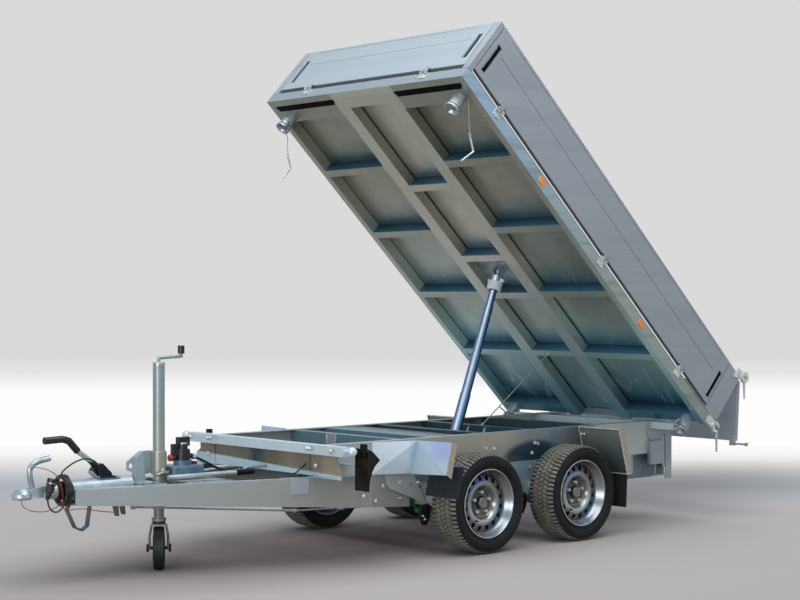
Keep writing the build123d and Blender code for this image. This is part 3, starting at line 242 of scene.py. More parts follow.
def in_bed(t, axis, low, high):
    """0 at one place of the bed and 1 at another, in metres from its rear edge (X) or underside (Z)."""
    index = "XYZ".index(axis)
    origin = (Matrix.Rotation(TIP, 4, "Y") @ on_bed(0, 0, 0))[index]
    return t.spread(t.split(t.place(turn=BED_TURN))[index], origin + low, origin + high)


def along_bed(t, low=0.0, high=BED_LENGTH):
    """0 at one place along the bed and 1 at another, in metres from its rear edge."""
    return in_bed(t, "X", low, high)


def bed_height(t, low, high):
    """0 at one height over the bed's underside and 1 at another, in metres."""
    return in_bed(t, "Z", low, high)


def facing(t, direction, low=0.3, high=0.8):
    """0 where a face looks away from a direction of the object, 1 where it looks along it."""
    normal = t.new("TexCoord").outputs["Normal"]
    along = t.new("VectorMath", {0: normal, 1: direction}, operation="DOT_PRODUCT").outputs["Value"]
    return t.ease(along, low, high)


def reach(t, axis, a, b):
    """0 at one millimetre value of the drawing and 1 at another, along X, Y or Z."""
    index = "XYZ".index(axis)
    return t.ease(t.split(t.place())[index], DATUM[index] + a / 1000, DATUM[index] + b / 1000)


def within(t, near, far):
    """1 up to a distance from the trailer's middle plane and 0 past another, in metres."""
    return t.spread(t.math("ABSOLUTE", t.split(t.place())[1]), near, far, 1.0, 0.0)


def blot(t, centre, size, soft, depth):
    """A depth inside an ellipsoid round a point of the drawing, 0 outside it; sizes in millimetres."""
    away = t.new("VectorMath", {0: t.place(), 1: tuple(at(*centre))}, operation="SUBTRACT").outputs["Vector"]
    scale = tuple(1000.0 / r for r in size)
    away = t.new("VectorMath", {0: away, 1: scale}, operation="MULTIPLY").outputs["Vector"]
    return t.times(t.spread(t.length(away), 1.0 - soft, 1.0, 1.0, 0.0, smooth=True), depth)


# ---------------------------------------------------------------- tones, most of them painted light, shade and reflections
# cross members under the sides of the bed and between its long beams, in metres from the rear edge
SIDE_MEMBERS = (0.058, 0.585, 1.11, 1.634, 2.15)
MIDDLE_MEMBERS = (0.591, 1.1, 1.415, 1.99)


def ahead_of(t, members, fade):
    """1 just ahead of each cross member and 0 a little further on, where a painted reflection of the member
    falls.
    """
    stops = [(0.0, 0.0)]
    for a in members:
        stops += [(a + 0.02, 0.0), (a + 0.03, 1.0), (a + 0.03 + fade * 0.4, 0.5), (a + 0.03 + fade, 0.0)]
    return t.ramp(along_bed(t), [(a / BED_LENGTH, v) for a, v in stops])


def painted_under_reflection(t):
    """Painted reflection and shade on sheet steel under the bed: olive near the front of the bed, cooler
    towards the rear.
    """
    along = along_bed(t)
    side = t.ramp(along, [
        (0.0, 92, 139, 154), (0.12, 147, 194, 199), (0.24, 201, 234, 231),
        (0.36, 194, 208, 198), (0.5, 189, 197, 187), (0.72, 170, 170, 154), (1.0, 148, 152, 138)])
    middle = t.ramp(along, [
        (0.0, 120, 172, 186), (0.12, 176, 216, 220), (0.24, 222, 244, 240),
        (0.5, 226, 225, 212), (0.72, 206, 204, 188), (1.0, 184, 190, 174)])
    base = t.mix(within(t, 0.252, 0.256), side, middle)
    wave = t.noise(t.place((0.5, 1.6, 1), BED_TURN), 2.4, 3.0, 0.5, 0.8)
    return t.tint(t.spread(wave, 0.4, 0.65, 0.0, 0.35, smooth=True), base, (0.74, 0.78, 0.82))


def under_beam_painted_light(t, tone):
    """Beams under the bed with painted light: a painted olive reflection on flanges and side webs, duller on
    webs that look left with a painted shadow line along their top, and a painted dark blue-green reflection
    on front webs, darker towards the floor sheet.
    """
    web = t.ramp(bed_height(t, 0.0, 0.069), [(0.0, 92, 138, 160), (0.55, 62, 104, 128), (1.0, 44, 76, 96)])
    warm = painted_under_reflection(t)
    # painted shadow line along the top of the webs that look left
    foot = t.mix(bed_height(t, 0.054, 0.064), t.mix(0.35, warm, srgb(70, 74, 62)), srgb(24, 26, 24))
    side = t.mix(facing(t, LEFT), warm, foot)
    return t.mix(facing(t, BED_FRONT, 0.25, 0.7), side, web)


def bed_rail_painted_light(t, tone):
    """The edge profile with painted reflections: pale blue outside near the bed's top, dull lower down;
    painted brown shade in the recess above it.
    """
    side = t.ramp(along_bed(t), [
        (0.0, 150, 158, 146), (0.2, 156, 170, 162), (0.55, 160, 178, 180), (0.8, 158, 184, 200),
        (1.0, 160, 190, 214)])
    streak = t.noise(t.place((0.35, 1, 7), BED_TURN), 2.6, 3.0, 0.55)
    side = t.tint(t.spread(streak, 0.46, 0.62, 0.0, 0.55, smooth=True), side, (0.62, 0.6, 0.52))
    tone = t.mix(t.times(facing(t, LEFT), reach(t, "Y", 740, 764)), painted_under_reflection(t), side)
    tone = t.mix(facing(t, BED_FRONT), tone, srgb(148, 160, 168))
    # painted brown shade in the recess above the profile
    return t.mix(bed_height(t, 0.0655, 0.0665), tone, srgb(62, 54, 40))


def floor_painted_reflection(t, tone):
    """The floor: plain above; below it painted reflection and shade, a painted blue reflection of the cross
    members' webs ahead of each one, pale streaks low down.
    """
    base = painted_under_reflection(t)
    # painted blue reflection of each cross member's web on the sheet just ahead of it
    blue = t.mix(within(t, 0.16, 0.17), ahead_of(t, SIDE_MEMBERS, 0.17), ahead_of(t, MIDDLE_MEMBERS, 0.13))
    base = t.tint(t.times(blue, 0.9), base, (0.3, 0.5, 0.66))
    streak = t.noise(t.place((0.7, 2.6, 1), (0, TIP, 0.5)), 3.0, 4.0, 0.55, 1.6)
    low = t.times(t.spread(streak, 0.54, 0.66, 0.0, 0.8, smooth=True), along_bed(t, 1.5, 0.9))
    below = t.mix(low, base, srgb(206, 218, 212))
    return t.mix(facing(t, BED_UP), below, srgb(*GALV))


def wall_tone(t, tone):
    """Anodised planks with faint drawing lines along them."""
    line = t.noise(t.place((0.2, 1, 60), BED_TURN), 3.0, 2.0, 0.5)
    return t.tint(t.spread(line, 0.35, 0.65, 0.0, 0.16), tone, (0.8, 0.82, 0.84))


def side_rail_painted_light(t, tone):
    """Side rails with painted light: a painted sand-coloured sheen outside with a painted dark reflection
    over the wheels, and painted shade on faces that look right.
    """
    side = t.ramp(reach(t, "X", -1450, 1000), [
        (0.0, 188, 198, 196), (0.14, 190, 198, 190), (0.19, 168, 174, 164), (0.22, 104, 114, 112),
        (0.3, 102, 112, 112), (0.36, 128, 138, 140), (0.42, 136, 150, 156), (0.5, 134, 142, 142),
        (0.62, 166, 166, 152), (0.8, 168, 168, 152), (0.9, 170, 172, 164), (1.0, 176, 184, 184)])
    cloud = t.noise(t.place((0.6, 1, 1.6)), 2.6, 3.0, 0.5, 0.7)
    side = t.tint(t.spread(cloud, 0.42, 0.66, 0.0, 0.4, smooth=True), side, (0.7, 0.78, 0.84))
    # painted reflections on the outer face: a dark blue one over the wheels and two paler ones
    side = t.mix(blot(t, (-262, 475, 450), (285, 60, 108), 0.3, 0.92), side, srgb(28, 58, 76))
    side = t.mix(blot(t, (-420, 475, 545), (90, 60, 70), 0.8, 0.6), side, srgb(104, 130, 146))
    side = t.mix(blot(t, (-60, 475, 420), (170, 60, 70), 0.6, 0.7), side, srgb(84, 92, 92))
    tone = t.mix(facing(t, LEFT), tone, side)
    return t.mix(facing(t, RIGHT), tone, srgb(62, 88, 96))


def members_painted_shade(t, tone):
    """Members between the rails with painted shade: dim blue-green, lighter on faces that look up and on the
    foremost ones.
    """
    up = facing(t, UP)
    front = t.mix(up, srgb(104, 134, 146), srgb(112, 150, 160))
    return t.mix(reach(t, "X", 300, 420), t.mix(up, srgb(52, 76, 84), srgb(66, 90, 100)), front)


def guard_painted_light(t, tone):
    """Mudguards with painted light: a painted pale blue reflection, brightest at the front edge, a painted
    lilac reflection above the crease and a painted sand-coloured reflection on the wing; painted shade on
    the rear ones, darker towards the bottom.
    """
    sheet = t.mix(reach(t, "Z", 440, 600), srgb(192, 214, 228), srgb(182, 204, 222))
    base = t.mix(reach(t, "X", 696, 760), sheet, srgb(226, 242, 250))
    lilac = t.times(reach(t, "Y", 600, 700), reach(t, "Z", 485, 540), reach(t, "X", 760, 700))
    base = t.mix(lilac, base, srgb(172, 188, 230))
    wing = t.times(facing(t, LEFT, 0.8, 0.97), reach(t, "Y", 740, 760))
    front = t.mix(wing, base, srgb(176, 168, 150))
    rear = t.ramp(reach(t, "Z", 345, 600), [(0.0, 62, 70, 66), (0.45, 84, 100, 102), (0.8, 106, 112, 108),
                                            (1.0, 124, 132, 130)])
    rear = t.mix(t.times(facing(t, LEFT, 0.5, 0.9), reach(t, "Y", 700, 740)), rear, srgb(160, 156, 142))
    return t.mix(reach(t, "X", -300, 0), rear, front)


def cross_beam_painted_light(t, tone):
    """Cross beams with painted reflections: bright pale blue above; the front apron painted brown and blue
    in bands, pale along its foot.
    """
    patch = t.noise(t.place((1, 0.7, 1.2)), 3.4, 2.0, 0.5, 0.6)
    band = t.ramp(reach(t, "Y", -575, 575), [
        (0.0, 128, 122, 108), (0.2, 120, 116, 104), (0.3, 106, 110, 104), (0.37, 40, 66, 78),
        (0.45, 52, 82, 94), (0.5, 110, 104, 88), (0.6, 118, 106, 86), (0.76, 148, 138, 118),
        (0.905, 132, 124, 108), (0.912, 40, 42, 40), (0.92, 150, 140, 120), (1.0, 166, 154, 132)])
    band = t.mix(t.spread(patch, 0.42, 0.6, 0.0, 0.3, smooth=True), band, srgb(96, 104, 102))
    foot = t.mix(t.ease(patch, 0.4, 0.62), srgb(200, 222, 230), srgb(172, 194, 204))
    where = t.split(t.place())
    slant = t.math("ADD", where[2], t.times(where[1], 0.041))
    apron = t.mix(t.ease(slant, DATUM.z + 0.476, DATUM.z + 0.486), foot, band)
    return t.mix(reach(t, "Z", 555, 559), apron, srgb(206, 224, 230))


def brake_ratchet_painted_shade(t, tone):
    """Brake gear: plain zinc, with painted shade and a painted dark reflection on the ratchet under the
    lever, black above and dark blue below.
    """
    where = t.split(t.place())
    slant = t.math("SUBTRACT", where[0], where[2])
    off = t.math("ABSOLUTE", t.math("SUBTRACT", slant, DATUM.x - DATUM.z + 1.76))
    inside = t.times(t.spread(off, 0.045, 0.05, 1.0, 0.0), reach(t, "X", 2196, 2200),
                     reach(t, "Z", 560, 552), reach(t, "Z", 470, 476))
    return t.mix(inside, tone, t.mix(reach(t, "Z", 545, 490), srgb(30, 34, 36), srgb(10, 32, 58)))


def lever_tone(t, tone):
    """The pump's loose lever: zinc with a black grip at its rear end."""
    return t.mix(reach(t, "X", 1536, 1533), tone, srgb(26, 28, 30))


def housing_painted_shade(t, tone):
    """The overrun housing: bright above, painted shade on its strap and hooks below, darkest and bluest at
    the bottom.
    """
    low = t.mix(reach(t, "Z", 250, 340), srgb(66, 84, 100), srgb(112, 112, 102))
    return t.mix(reach(t, "Z", 392, 372), tone, low)


def from_wheel(t):
    """How far a point of a wheel lies ahead of its centre and above it, and its radius, in metres."""
    where = t.split(t.place())
    x = t.math("SUBTRACT", where[0], DATUM.x)
    ahead = t.times(t.math("SUBTRACT", t.math("ABSOLUTE", x), WHEEL_X / 1000), t.math("SIGN", x))
    up = t.math("SUBTRACT", where[2], DATUM.z + WHEEL_Z / 1000)
    radius = t.math("SQRT", t.math("ADD", t.times(ahead, ahead), t.times(up, up)))
    return ahead, up, radius


def rim_painted_reflection(t, tone):
    """Silver lacquer with a painted reflection of the room: brown above, pale below in the barrel, blue on
    the disc.
    """
    ahead, up, radius = from_wheel(t)
    high = t.math("DIVIDE", up, radius)
    lead = t.math("DIVIDE", ahead, radius)
    barrel = t.mix(t.ease(t.math("ADD", high, t.times(lead, 0.4)), -0.2, 0.85),
                   srgb(150, 158, 164), srgb(112, 98, 80))
    turn = t.math("ADD", t.times(high, 0.8), t.times(lead, 0.75))
    ring = t.mix(t.ease(turn, -0.1, 0.9), srgb(122, 116, 104), srgb(62, 84, 124))
    below = t.spread(t.math("ADD", high, lead), -1.25, -0.9, 1.0, 0.0, smooth=True)
    ring = t.mix(below, ring, srgb(60, 96, 128))
    ridge = t.mix(t.ease(high, -0.6, 0.6), srgb(180, 188, 190), srgb(136, 144, 144))
    seat = t.mix(t.ease(turn, -0.6, 0.6), srgb(118, 116, 106), srgb(60, 72, 80))
    disc = t.mix(t.ease(radius, 0.112, 0.118), ridge, ring)
    disc = t.mix(t.ease(radius, 0.08, 0.092), seat, disc)
    disc = t.mix(t.spread(radius, 0.029, 0.031), srgb(132, 132, 122), disc)
    outside = t.mix(t.spread(radius, 0.176, 0.178), barrel, srgb(196, 204, 208))
    return t.mix(t.spread(radius, 0.1475, 0.15), disc, outside)


def drawbar_painted_light(t, tone):
    """Drawbar beams: even pale grey, warmer to the rear, with painted light on the faces that look up."""
    stops = [(0.0, 140, 142, 136), (0.3, 156, 158, 152), (1.0, 164, 174, 176)]
    base = t.ramp(reach(t, "X", 690, 2440), stops)
    return t.mix(facing(t, UP), base, srgb(176, 190, 196))


def mast_tone(t, tone):
    """The jockey mast: grey above, yellow zinc below."""
    return t.mix(reach(t, "Z", 440, 900), srgb(156, 158, 144), srgb(142, 158, 158))


def clamp_tone(t, tone):
    """The jockey clamp: its plates pale zinc, its collar as dull as the mast inside."""
    where = t.split(t.place())
    off = t.math("ABSOLUTE", t.math("SUBTRACT", where[0], DATUM.x + JOCKEY_X / 1000))
    return t.mix(t.spread(off, 0.036, 0.04, 1.0, 0.0), srgb(158, 176, 180), mast_tone(t, tone))


def ram_painted_highlight(t, tone):
    """Ground steel of the ram with a painted highlight: a bright line left of its middle as the camera sees
    it, a painted dark reflection to the right.
    """
    left = (-math.sin(VIEW_YAW), math.cos(VIEW_YAW), 0)
    return t.ramp(facing(t, left, -1.0, 1.0), [
        (0.0, 52, 70, 104), (0.25, 92, 128, 170), (0.5, 176, 212, 242), (0.62, 236, 246, 252),
        (0.76, 250, 252, 255), (0.84, 150, 176, 210), (1.0, 70, 92, 126)])


def steel(name, base, rough, metallic, cloud=4.0, **more):
    """Hot-dip galvanised steel with its spangle."""
    material(name, base, rough, metallic, cloud=cloud, grain=180, **more)


GALV, GREY = (176, 186, 190), (150, 160, 166)

# most of the colour functions given below paint light, shade and reflections onto the finish
steel("galvanised", GALV, 0.38, 0.35, other=GREY, spangle=0.16, contrast=0.3)
steel("rail_steel", GALV, 0.34, 0.35, spangle=0.12, bump=0.0002, colour=side_rail_painted_light)
steel("member_steel", GREY, 0.4, 0.3, spangle=0.25, colour=members_painted_shade)
steel("guard_steel", GALV, 0.36, 0.2, cloud=3.0, spangle=0.12, bump=0.0002, colour=guard_painted_light)
steel("beam_steel", GALV, 0.32, 0.35, spangle=0.15, colour=cross_beam_painted_light)
steel("drawbar_steel", GALV, 0.36, 0.3, spangle=0.15, colour=drawbar_painted_light)
steel("under_steel", GREY, 0.42, 0.75, cloud=6.0, spangle=0.1, turn=BED_TURN, bump=0.00015,
      colour=under_beam_painted_light)
steel("edge_steel", GREY, 0.34, 0.45, cloud=6.0, spangle=0.1, turn=BED_TURN, bump=0.00015,
      colour=bed_rail_painted_light)
material("floor_sheet", GREY, 0.36, 0.8, turn=BED_TURN, grain=240, bump=0.00012, rough_spread=0.08,
         colour=floor_painted_reflection)
material("wall", (160, 168, 174), 0.36, 0.35, other=(153, 161, 168), cloud=1.4, stretch=(0.15, 1, 6),
         turn=BED_TURN, grain=420, bump=0.00015, rough_spread=0.04, colour=wall_tone)
material("wall_front", (166, 178, 184), 0.36, 0.35, other=(158, 171, 178), cloud=1.4,
         stretch=(1, 0.15, 6), turn=BED_TURN, grain=420, bump=0.00015, rough_spread=0.04)
material("tyre", (30, 31, 32), 0.6, other=(22, 23, 23), cloud=8.0, grain=500, edge=0.001, specular=0.2)
# the tread blocks are far lighter than the sidewall: road dust and painted light on the tread
material("tread", (124, 122, 112), 0.7, other=(100, 98, 90), cloud=14.0, grain=500, bump=0.0004,
         dirt=0.35, edge=0.0014)
material("tread_floor", (40, 39, 36), 0.8, cloud=14.0, grain=500, bump=0.0004)
# painted shade: a near-black finish for blocks and rings that stand for the shade in slots, gaps and behind
# the wheel discs
material("painted_shade_black", (10, 11, 13), 0.85, cloud=12.0, grain=300, bump=0.0002, specular=0.1)
material("rubber", (14, 15, 17), 0.55, cloud=12.0, grain=600)
material("flap_rubber", (14, 17, 22), 0.6, other=(20, 30, 40), cloud=6.0, stretch=(1, 1, 0.2), grain=500)
material("sheath", (18, 18, 20), 0.36, cloud=30.0, grain=900, bump=0.0001, coat=0.2)
material("black_plastic", (22, 22, 24), 0.4, cloud=12.0, grain=700, bump=0.0002, coat=0.1)
material("chock_plastic", (8, 8, 8), 0.55, other=(30, 28, 22), cloud=9.0, grain=500, bump=0.0004,
         specular=0.2)
material("silver", (176, 182, 186), 0.24, 0.7, other=(150, 164, 184), grain=500, bump=0.00006, coat=0.3,
         edge=0.0016, rough_spread=0.04, colour=rim_painted_reflection)
material("chrome", (126, 150, 190), 0.2, 0.7, other=(92, 118, 160), cloud=4.0, stretch=(1, 1, 0.3),
         grain=700, bump=0.00005, colour=ram_painted_highlight)
material("zinc", (196, 202, 202), 0.28, 0.7, other=(160, 168, 172), cloud=14.0, grain=400)
material("bright_zinc", (226, 230, 230), 0.24, 0.6, other=(186, 192, 192), cloud=30.0, grain=400)
material("cast_zinc", (190, 200, 204), 0.34, 0.6, other=(150, 164, 170), cloud=22.0, grain=240, bump=0.0008)
material("mast_zinc", (176, 172, 146), 0.34, 0.4, cloud=12.0, grain=400, bump=0.0002, colour=mast_tone)
material("grey_paint", (88, 114, 138), 0.34, 0.1, other=(66, 90, 114), cloud=10.0, grain=500, coat=0.3)
material("green_paint", (26, 120, 56), 0.34, 0.1, other=(12, 74, 36), cloud=14.0, grain=500, coat=0.3,
         dirt=0.2)
material("white_paint", (236, 238, 238), 0.34, other=(214, 220, 224), cloud=14.0, grain=500, coat=0.3)
material("red_lens", (150, 16, 14), 0.2, cloud=14.0, grain=300, coat=0.5)
material("red_knob", (186, 26, 38), 0.3, cloud=14.0, grain=500, coat=0.3)
material("orange", (250, 160, 30), 0.3, other=(240, 136, 20), cloud=160.0, grain=900, coat=0.4)
material("red_sheath", (176, 60, 48), 0.4, other=(140, 40, 30), cloud=60.0, grain=900)
material("rope_steel", (190, 188, 180), 0.4, 0.5, other=(150, 146, 136), cloud=300.0, grain=900)
material("clamp_zinc", GALV, 0.34, 0.5, cloud=6.0, grain=300, bump=0.0002, colour=clamp_tone)
material("brake_zinc", (180, 190, 194), 0.32, 0.5, other=(150, 162, 168), cloud=14.0, grain=400,
         bump=0.0002, colour=brake_ratchet_painted_shade)
material("lever_zinc", (186, 196, 200), 0.3, 0.55, other=(160, 170, 176), cloud=10.0, grain=400,
         bump=0.0002, colour=lever_tone)
material("housing_zinc", (184, 196, 202), 0.34, 0.45, other=(160, 172, 178), cloud=10.0, grain=300,
         colour=housing_painted_shade)
material("jockey_zinc", (140, 142, 128), 0.34, 0.4, other=(110, 112, 100), cloud=20.0, grain=400,
         bump=0.0002)
material("plate_blue", (138, 164, 176), 0.4, 0.3, other=(146, 172, 182), cloud=6.0, grain=240, bump=0.0002)
# a darker blue copy of galvanised sheet: painted shade for the sheets behind the rails' windows
material("inner_sheet_painted_shade", (120, 138, 144), 0.4, 0.3, other=(96, 116, 124), cloud=8.0, grain=240, bump=0.0002)
material("brass", (176, 156, 112), 0.3, 0.7, cloud=20.0, grain=500, bump=0.0001)
material("chrome_dark", (70, 80, 92), 0.3, 0.6, cloud=20.0, grain=500, bump=0.0001)

CORNERS = ("front_left", "front_right", "rear_left", "rear_right")
NODE_LOOK = {
    "galvanised": ["chassis_plates", "axles"],
    "clamp_zinc": ["jockey_clamp"],
    "brake_zinc": ["brake_linkage"],
    "lever_zinc": ["pump_lever"],
    "housing_zinc": ["overrun_housing"],
    "rail_steel": ["rails"],
    "member_steel": ["cross_members"],
    "beam_steel": ["cross_beams"],
    "drawbar_steel": ["drawbar_beams"],
    "guard_steel": ["mudguards"],
    "mast_zinc": ["jockey_mast"],
    "jockey_zinc": ["jockey_fork"],
    "edge_steel": ["bed_rails"],
    "under_steel": ["bed_beams", "bed_cross_members"],
    "bright_zinc": ["wall_hinges", "gate_latches", "cup_pins"],
    "wall": ["wall_left", "wall_right", "tailgate", "corner_posts"],
    "wall_front": ["wall_front"],
    "floor_sheet": ["bed_floor"],
    "rubber": ["drawbar_bellows", "jockey_wheel"],
    "flap_rubber": ["mud_flaps"],
    "sheath": ["plug_cable", "plug_lead", "plug_and_coil", "pump_hose"],
    "black_plastic": ["hand_grips", "pump_body"],
    "chock_plastic": ["wheel_chocks"],
    "silver": ["rim_" + corner for corner in CORNERS],
    "tyre": ["tyre_" + corner for corner in CORNERS],
    "chrome": ["ram_stage_1", "ram_stage_2", "ram_stage_3", "ram_stage_4", "ram_rod", "ram_barrel"],
    "cast_zinc": ["coupling_head", "bed_sockets"],
    "grey_paint": ["pump_tank"],
    "green_paint": ["dampers"],
    "red_lens": ["rear_lamps"],
    "orange": ["side_reflectors"],
    "red_sheath": ["breakaway_cable", "ring_cable"],
    "rope_steel": ["pin_lanyard_left", "pin_lanyard_right"],
}


look_of = {node: look for look, members in NODE_LOOK.items() for node in members}
for name, obj in nodes.items():
    obj.data.shade_smooth()
    obj.data.set_sharp_from_angle(angle=math.radians(32))
    obj.data.materials.clear()
    obj.data.materials.append(MATERIALS[look_of[name]])


# ---------------------------------------------------------------- pieces
DRAWING = Matrix.Translation(DATUM) @ Matrix.Scale(0.001, 4)
ON_BED = BED @ Matrix.Scale(0.001, 4)


class Piece:
    """A mesh written face by face, in the drawing's millimetres unless another place is given."""

    def __init__(self, name, look, body, place=DRAWING):
        self.name, self.body, self.place = name, body, place
        self.verts, self.faces, self.slots, self.slot, self.looks = [], [], [], 0, [look]

    def use(self, look):
        """The faces that follow take this look."""
        if look not in self.looks:
            self.looks.append(look)
        self.slot = self.looks.index(look)

    def put(self, points, faces):
        start = len(self.verts)
        self.verts += [self.place @ Vector(p) for p in points]
        self.faces += [tuple(start + i for i in face) for face in faces]
        self.slots += [self.slot] * len(faces)

    def loft(self, rings, closed_ends=True, closed_rows=False):
        """Quads between rings of as many points each."""
        n, count = len(rings[0]), len(rings)
        faces = []
        for i in range(count if closed_rows else count - 1):
            j = (i + 1) % count
            faces += [(i * n + k, i * n + (k + 1) % n, j * n + (k + 1) % n, j * n + k) for k in range(n)]
        if closed_ends and not closed_rows:
            faces += [tuple(reversed(range(n))), tuple(range((count - 1) * n, count * n))]
        self.put([p for ring in rings for p in ring], faces)

    def slab(self, outline, depth):
        """A flat outline pushed along a vector."""
        far = [Vector(p) + Vector(depth) for p in outline]
        self.loft([[Vector(p) for p in outline], far])

    def block(self, x0, x1, y0, y1, z0, z1):
        y0, y1 = sorted((y0, y1))
        self.slab([(x0, y0, z0), (x1, y0, z0), (x1, y1, z0), (x0, y1, z0)], (0, 0, z1 - z0))

    def ring(self, centre, side, other, radius, segments):
        return [centre + (side * math.cos(a) + other * math.sin(a)) * radius
                for a in (2 * math.pi * k / segments for k in range(segments))]

    def turned(self, start, axis, profile, segments=24, closed_rows=False):
        """Rings of (radius, distance) round an axis."""
        start, axis = Vector(start), Vector(axis).normalized()
        side = axis.orthogonal().normalized()
        other = axis.cross(side)
        rings = [self.ring(start + axis * distance, side, other, max(radius, 0.02), segments)
                 for radius, distance in profile]
        self.loft(rings, closed_rows=closed_rows)

    def tube(self, points, radius, segments=10):
        """A round bar along points, with its section carried round the bends."""
        points = [Vector(p) for p in points]
        heading = (points[1] - points[0]).normalized()
        side = heading.orthogonal().normalized()
        rings = []
        for i, p in enumerate(points):
            ahead = points[min(i + 1, len(points) - 1)] - points[max(i - 1, 0)]
            ahead.normalize()
            side = (side - ahead * side.dot(ahead)).normalized()
            rings.append(self.ring(p, side, ahead.cross(side), radius, segments))
        self.loft(rings)

    def bolt(self, at_point, axis, r, high, dome=False):
        """A hexagon bolt head, or a domed one, on its washer."""
        foot = 1.6
        self.turned(at_point, axis, [(r * 1.25, -0.5), (r * 1.25, foot), (r * 1.1, 2.0)], 18)
        if dome:
            rings = [(r, foot), (r * 0.96, foot + high * 0.3), (r * 0.8, foot + high * 0.65),
                     (r * 0.45, foot + high * 0.93), (0, foot + high)]
            self.turned(at_point, axis, rings, 16)
        else:
            rings = [(r, foot - 0.5), (r, foot + high * 0.85), (r * 0.86, foot + high)]
            self.turned(at_point, axis, rings, 6)

    def build(self, smooth=32, bevel=0.0, weld=False):
        """The piece as an object that rides on its body; smooth is in degrees, bevel in millimetres."""
        mesh = bpy.data.meshes.new(self.name)
        mesh.from_pydata([tuple(v) for v in self.verts], [], self.faces)
        for polygon, slot in zip(mesh.polygons, self.slots):
            polygon.material_index = slot
        bm = bmesh.new()
        bm.from_mesh(mesh)
        if weld:
            bmesh.ops.remove_doubles(bm, verts=bm.verts, dist=0.00002)
        bmesh.ops.recalc_face_normals(bm, faces=bm.faces)
        bm.to_mesh(mesh)
        bm.free()
        for look in self.looks:
            mesh.materials.append(MATERIALS[look])
        mesh.shade_smooth()
        mesh.set_sharp_from_angle(angle=math.radians(smooth))
        obj = add(self.name, mesh)
        if bevel:
            edge = obj.modifiers.new("edges", "BEVEL")
            edge.width, edge.segments, edge.limit_method = bevel / 1000, 2, "ANGLE"
            edge.angle_limit = math.radians(40)
        if self.body:
            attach(obj, self.body)
        return obj


def curve_points(points, per_run=8):
    """A smooth line through points (Catmull-Rom)."""
    points = [Vector(p) for p in points]
    ends = [points[0] * 2 - points[1]] + points + [points[-1] * 2 - points[-2]]
    line = []
    for a, b, c, d in zip(ends, ends[1:], ends[2:], ends[3:]):
        for k in range(per_run):
            s = k / per_run
            line.append(0.5 * (2 * b + (c - a) * s + (2 * a - 5 * b + 4 * c - d) * s * s
                               + (3 * b - a - 3 * c + d) * s ** 3))
    return line + [points[-1]]


# ---------------------------------------------------------------- tyres
# each wheel's place along the trailer and its side, 1 on the left and -1 on the right
PLACES = ((WHEEL_X, 1), (WHEEL_X, -1), (-WHEEL_X, 1), (-WHEEL_X, -1))
WHEELS = {"wheel_" + corner: place for corner, place in zip(CORNERS, PLACES)}
# sidewall from the rim outwards: radius, distance from the tyre's middle
SIDEWALL = [(172, 75), (184, 77), (190, 82), (195, 84.5), (197, 87.5), (199.5, 85.5), (207, 94),
            (214, 96.8), (222, 97.3), (229, 96.6), (231, 97.2), (233, 95.6), (241, 92.8), (244, 92.8),
            (250, 88.5), (254, 83)]
# tread from its middle to its shoulder: distance from the middle, radius
CROWN = [(0, 262.3), (46, 262.2), (71, 260.2), (83, 254.8), (88, 250.5)]


def crown(y):
    """Radius of the tread's surface at a distance from its middle."""
    y = abs(y)
    for (y0, r0), (y1, r1) in zip(CROWN, CROWN[1:]):
        if y <= y1:
            return r0 + (r1 - r0) * (y - y0) / (y1 - y0)
    return CROWN[-1][1]


# tread ribs: near and far edge, slant of their blocks, and the share of a pitch that a block fills
RIBS = [(-88, -53, 0.0, 0.62), (-47, -20, 0.35, 0.84), (-14, 14, -0.3, 0.86), (20, 47, 0.35, 0.84),
        (53, 88, 0.0, 0.62)]
PITCHES = 68
GROOVE_R = 254.0


def tread_block(piece, centre, side, rib, start):
    """One block of a rib, from an angle on: a foot in the carcass and a slightly smaller top."""
    y0, y1, slant, share = rib
    step = 2 * math.pi / PITCHES
    shoulder = abs(y0 + y1) > 100
    marks = [y0, (y0 + y1) / 2, y1]
    if shoulder:
        marks = [-88, -83, -71, -53] if y0 < 0 else [53, 71, 83, 88]
    points = []
    for is_top, inset in ((False, 0.0), (True, 1.2)):
        near, far = [], []
        for y in marks:
            lean = slant * step * ((y - y0) / (y1 - y0) - 0.5)
            place = y
            if y == marks[0] and not (shoulder and y0 < 0):
                place = y + inset
            if y == marks[-1] and not (shoulder and y0 > 0):
                place = y - inset
            r = crown(y) if is_top else min(GROOVE_R, crown(y) - 3.0)
            trim = inset / 262.0
            for group, a in ((near, start + lean + trim), (far, start + lean + step * share - trim)):
                group.append(centre + Vector((r * math.sin(a), side * place, r * math.cos(a))))
        points += near + list(reversed(far))
    n = len(marks)
    m = 2 * n
    faces = [(i, (i + 1) % m, m + (i + 1) % m, m + i) for i in range(m)]
    faces += [(m + i, m + i + 1, m + m - 2 - i, m + m - 1 - i) for i in range(n - 1)]
    piece.put(points, faces)


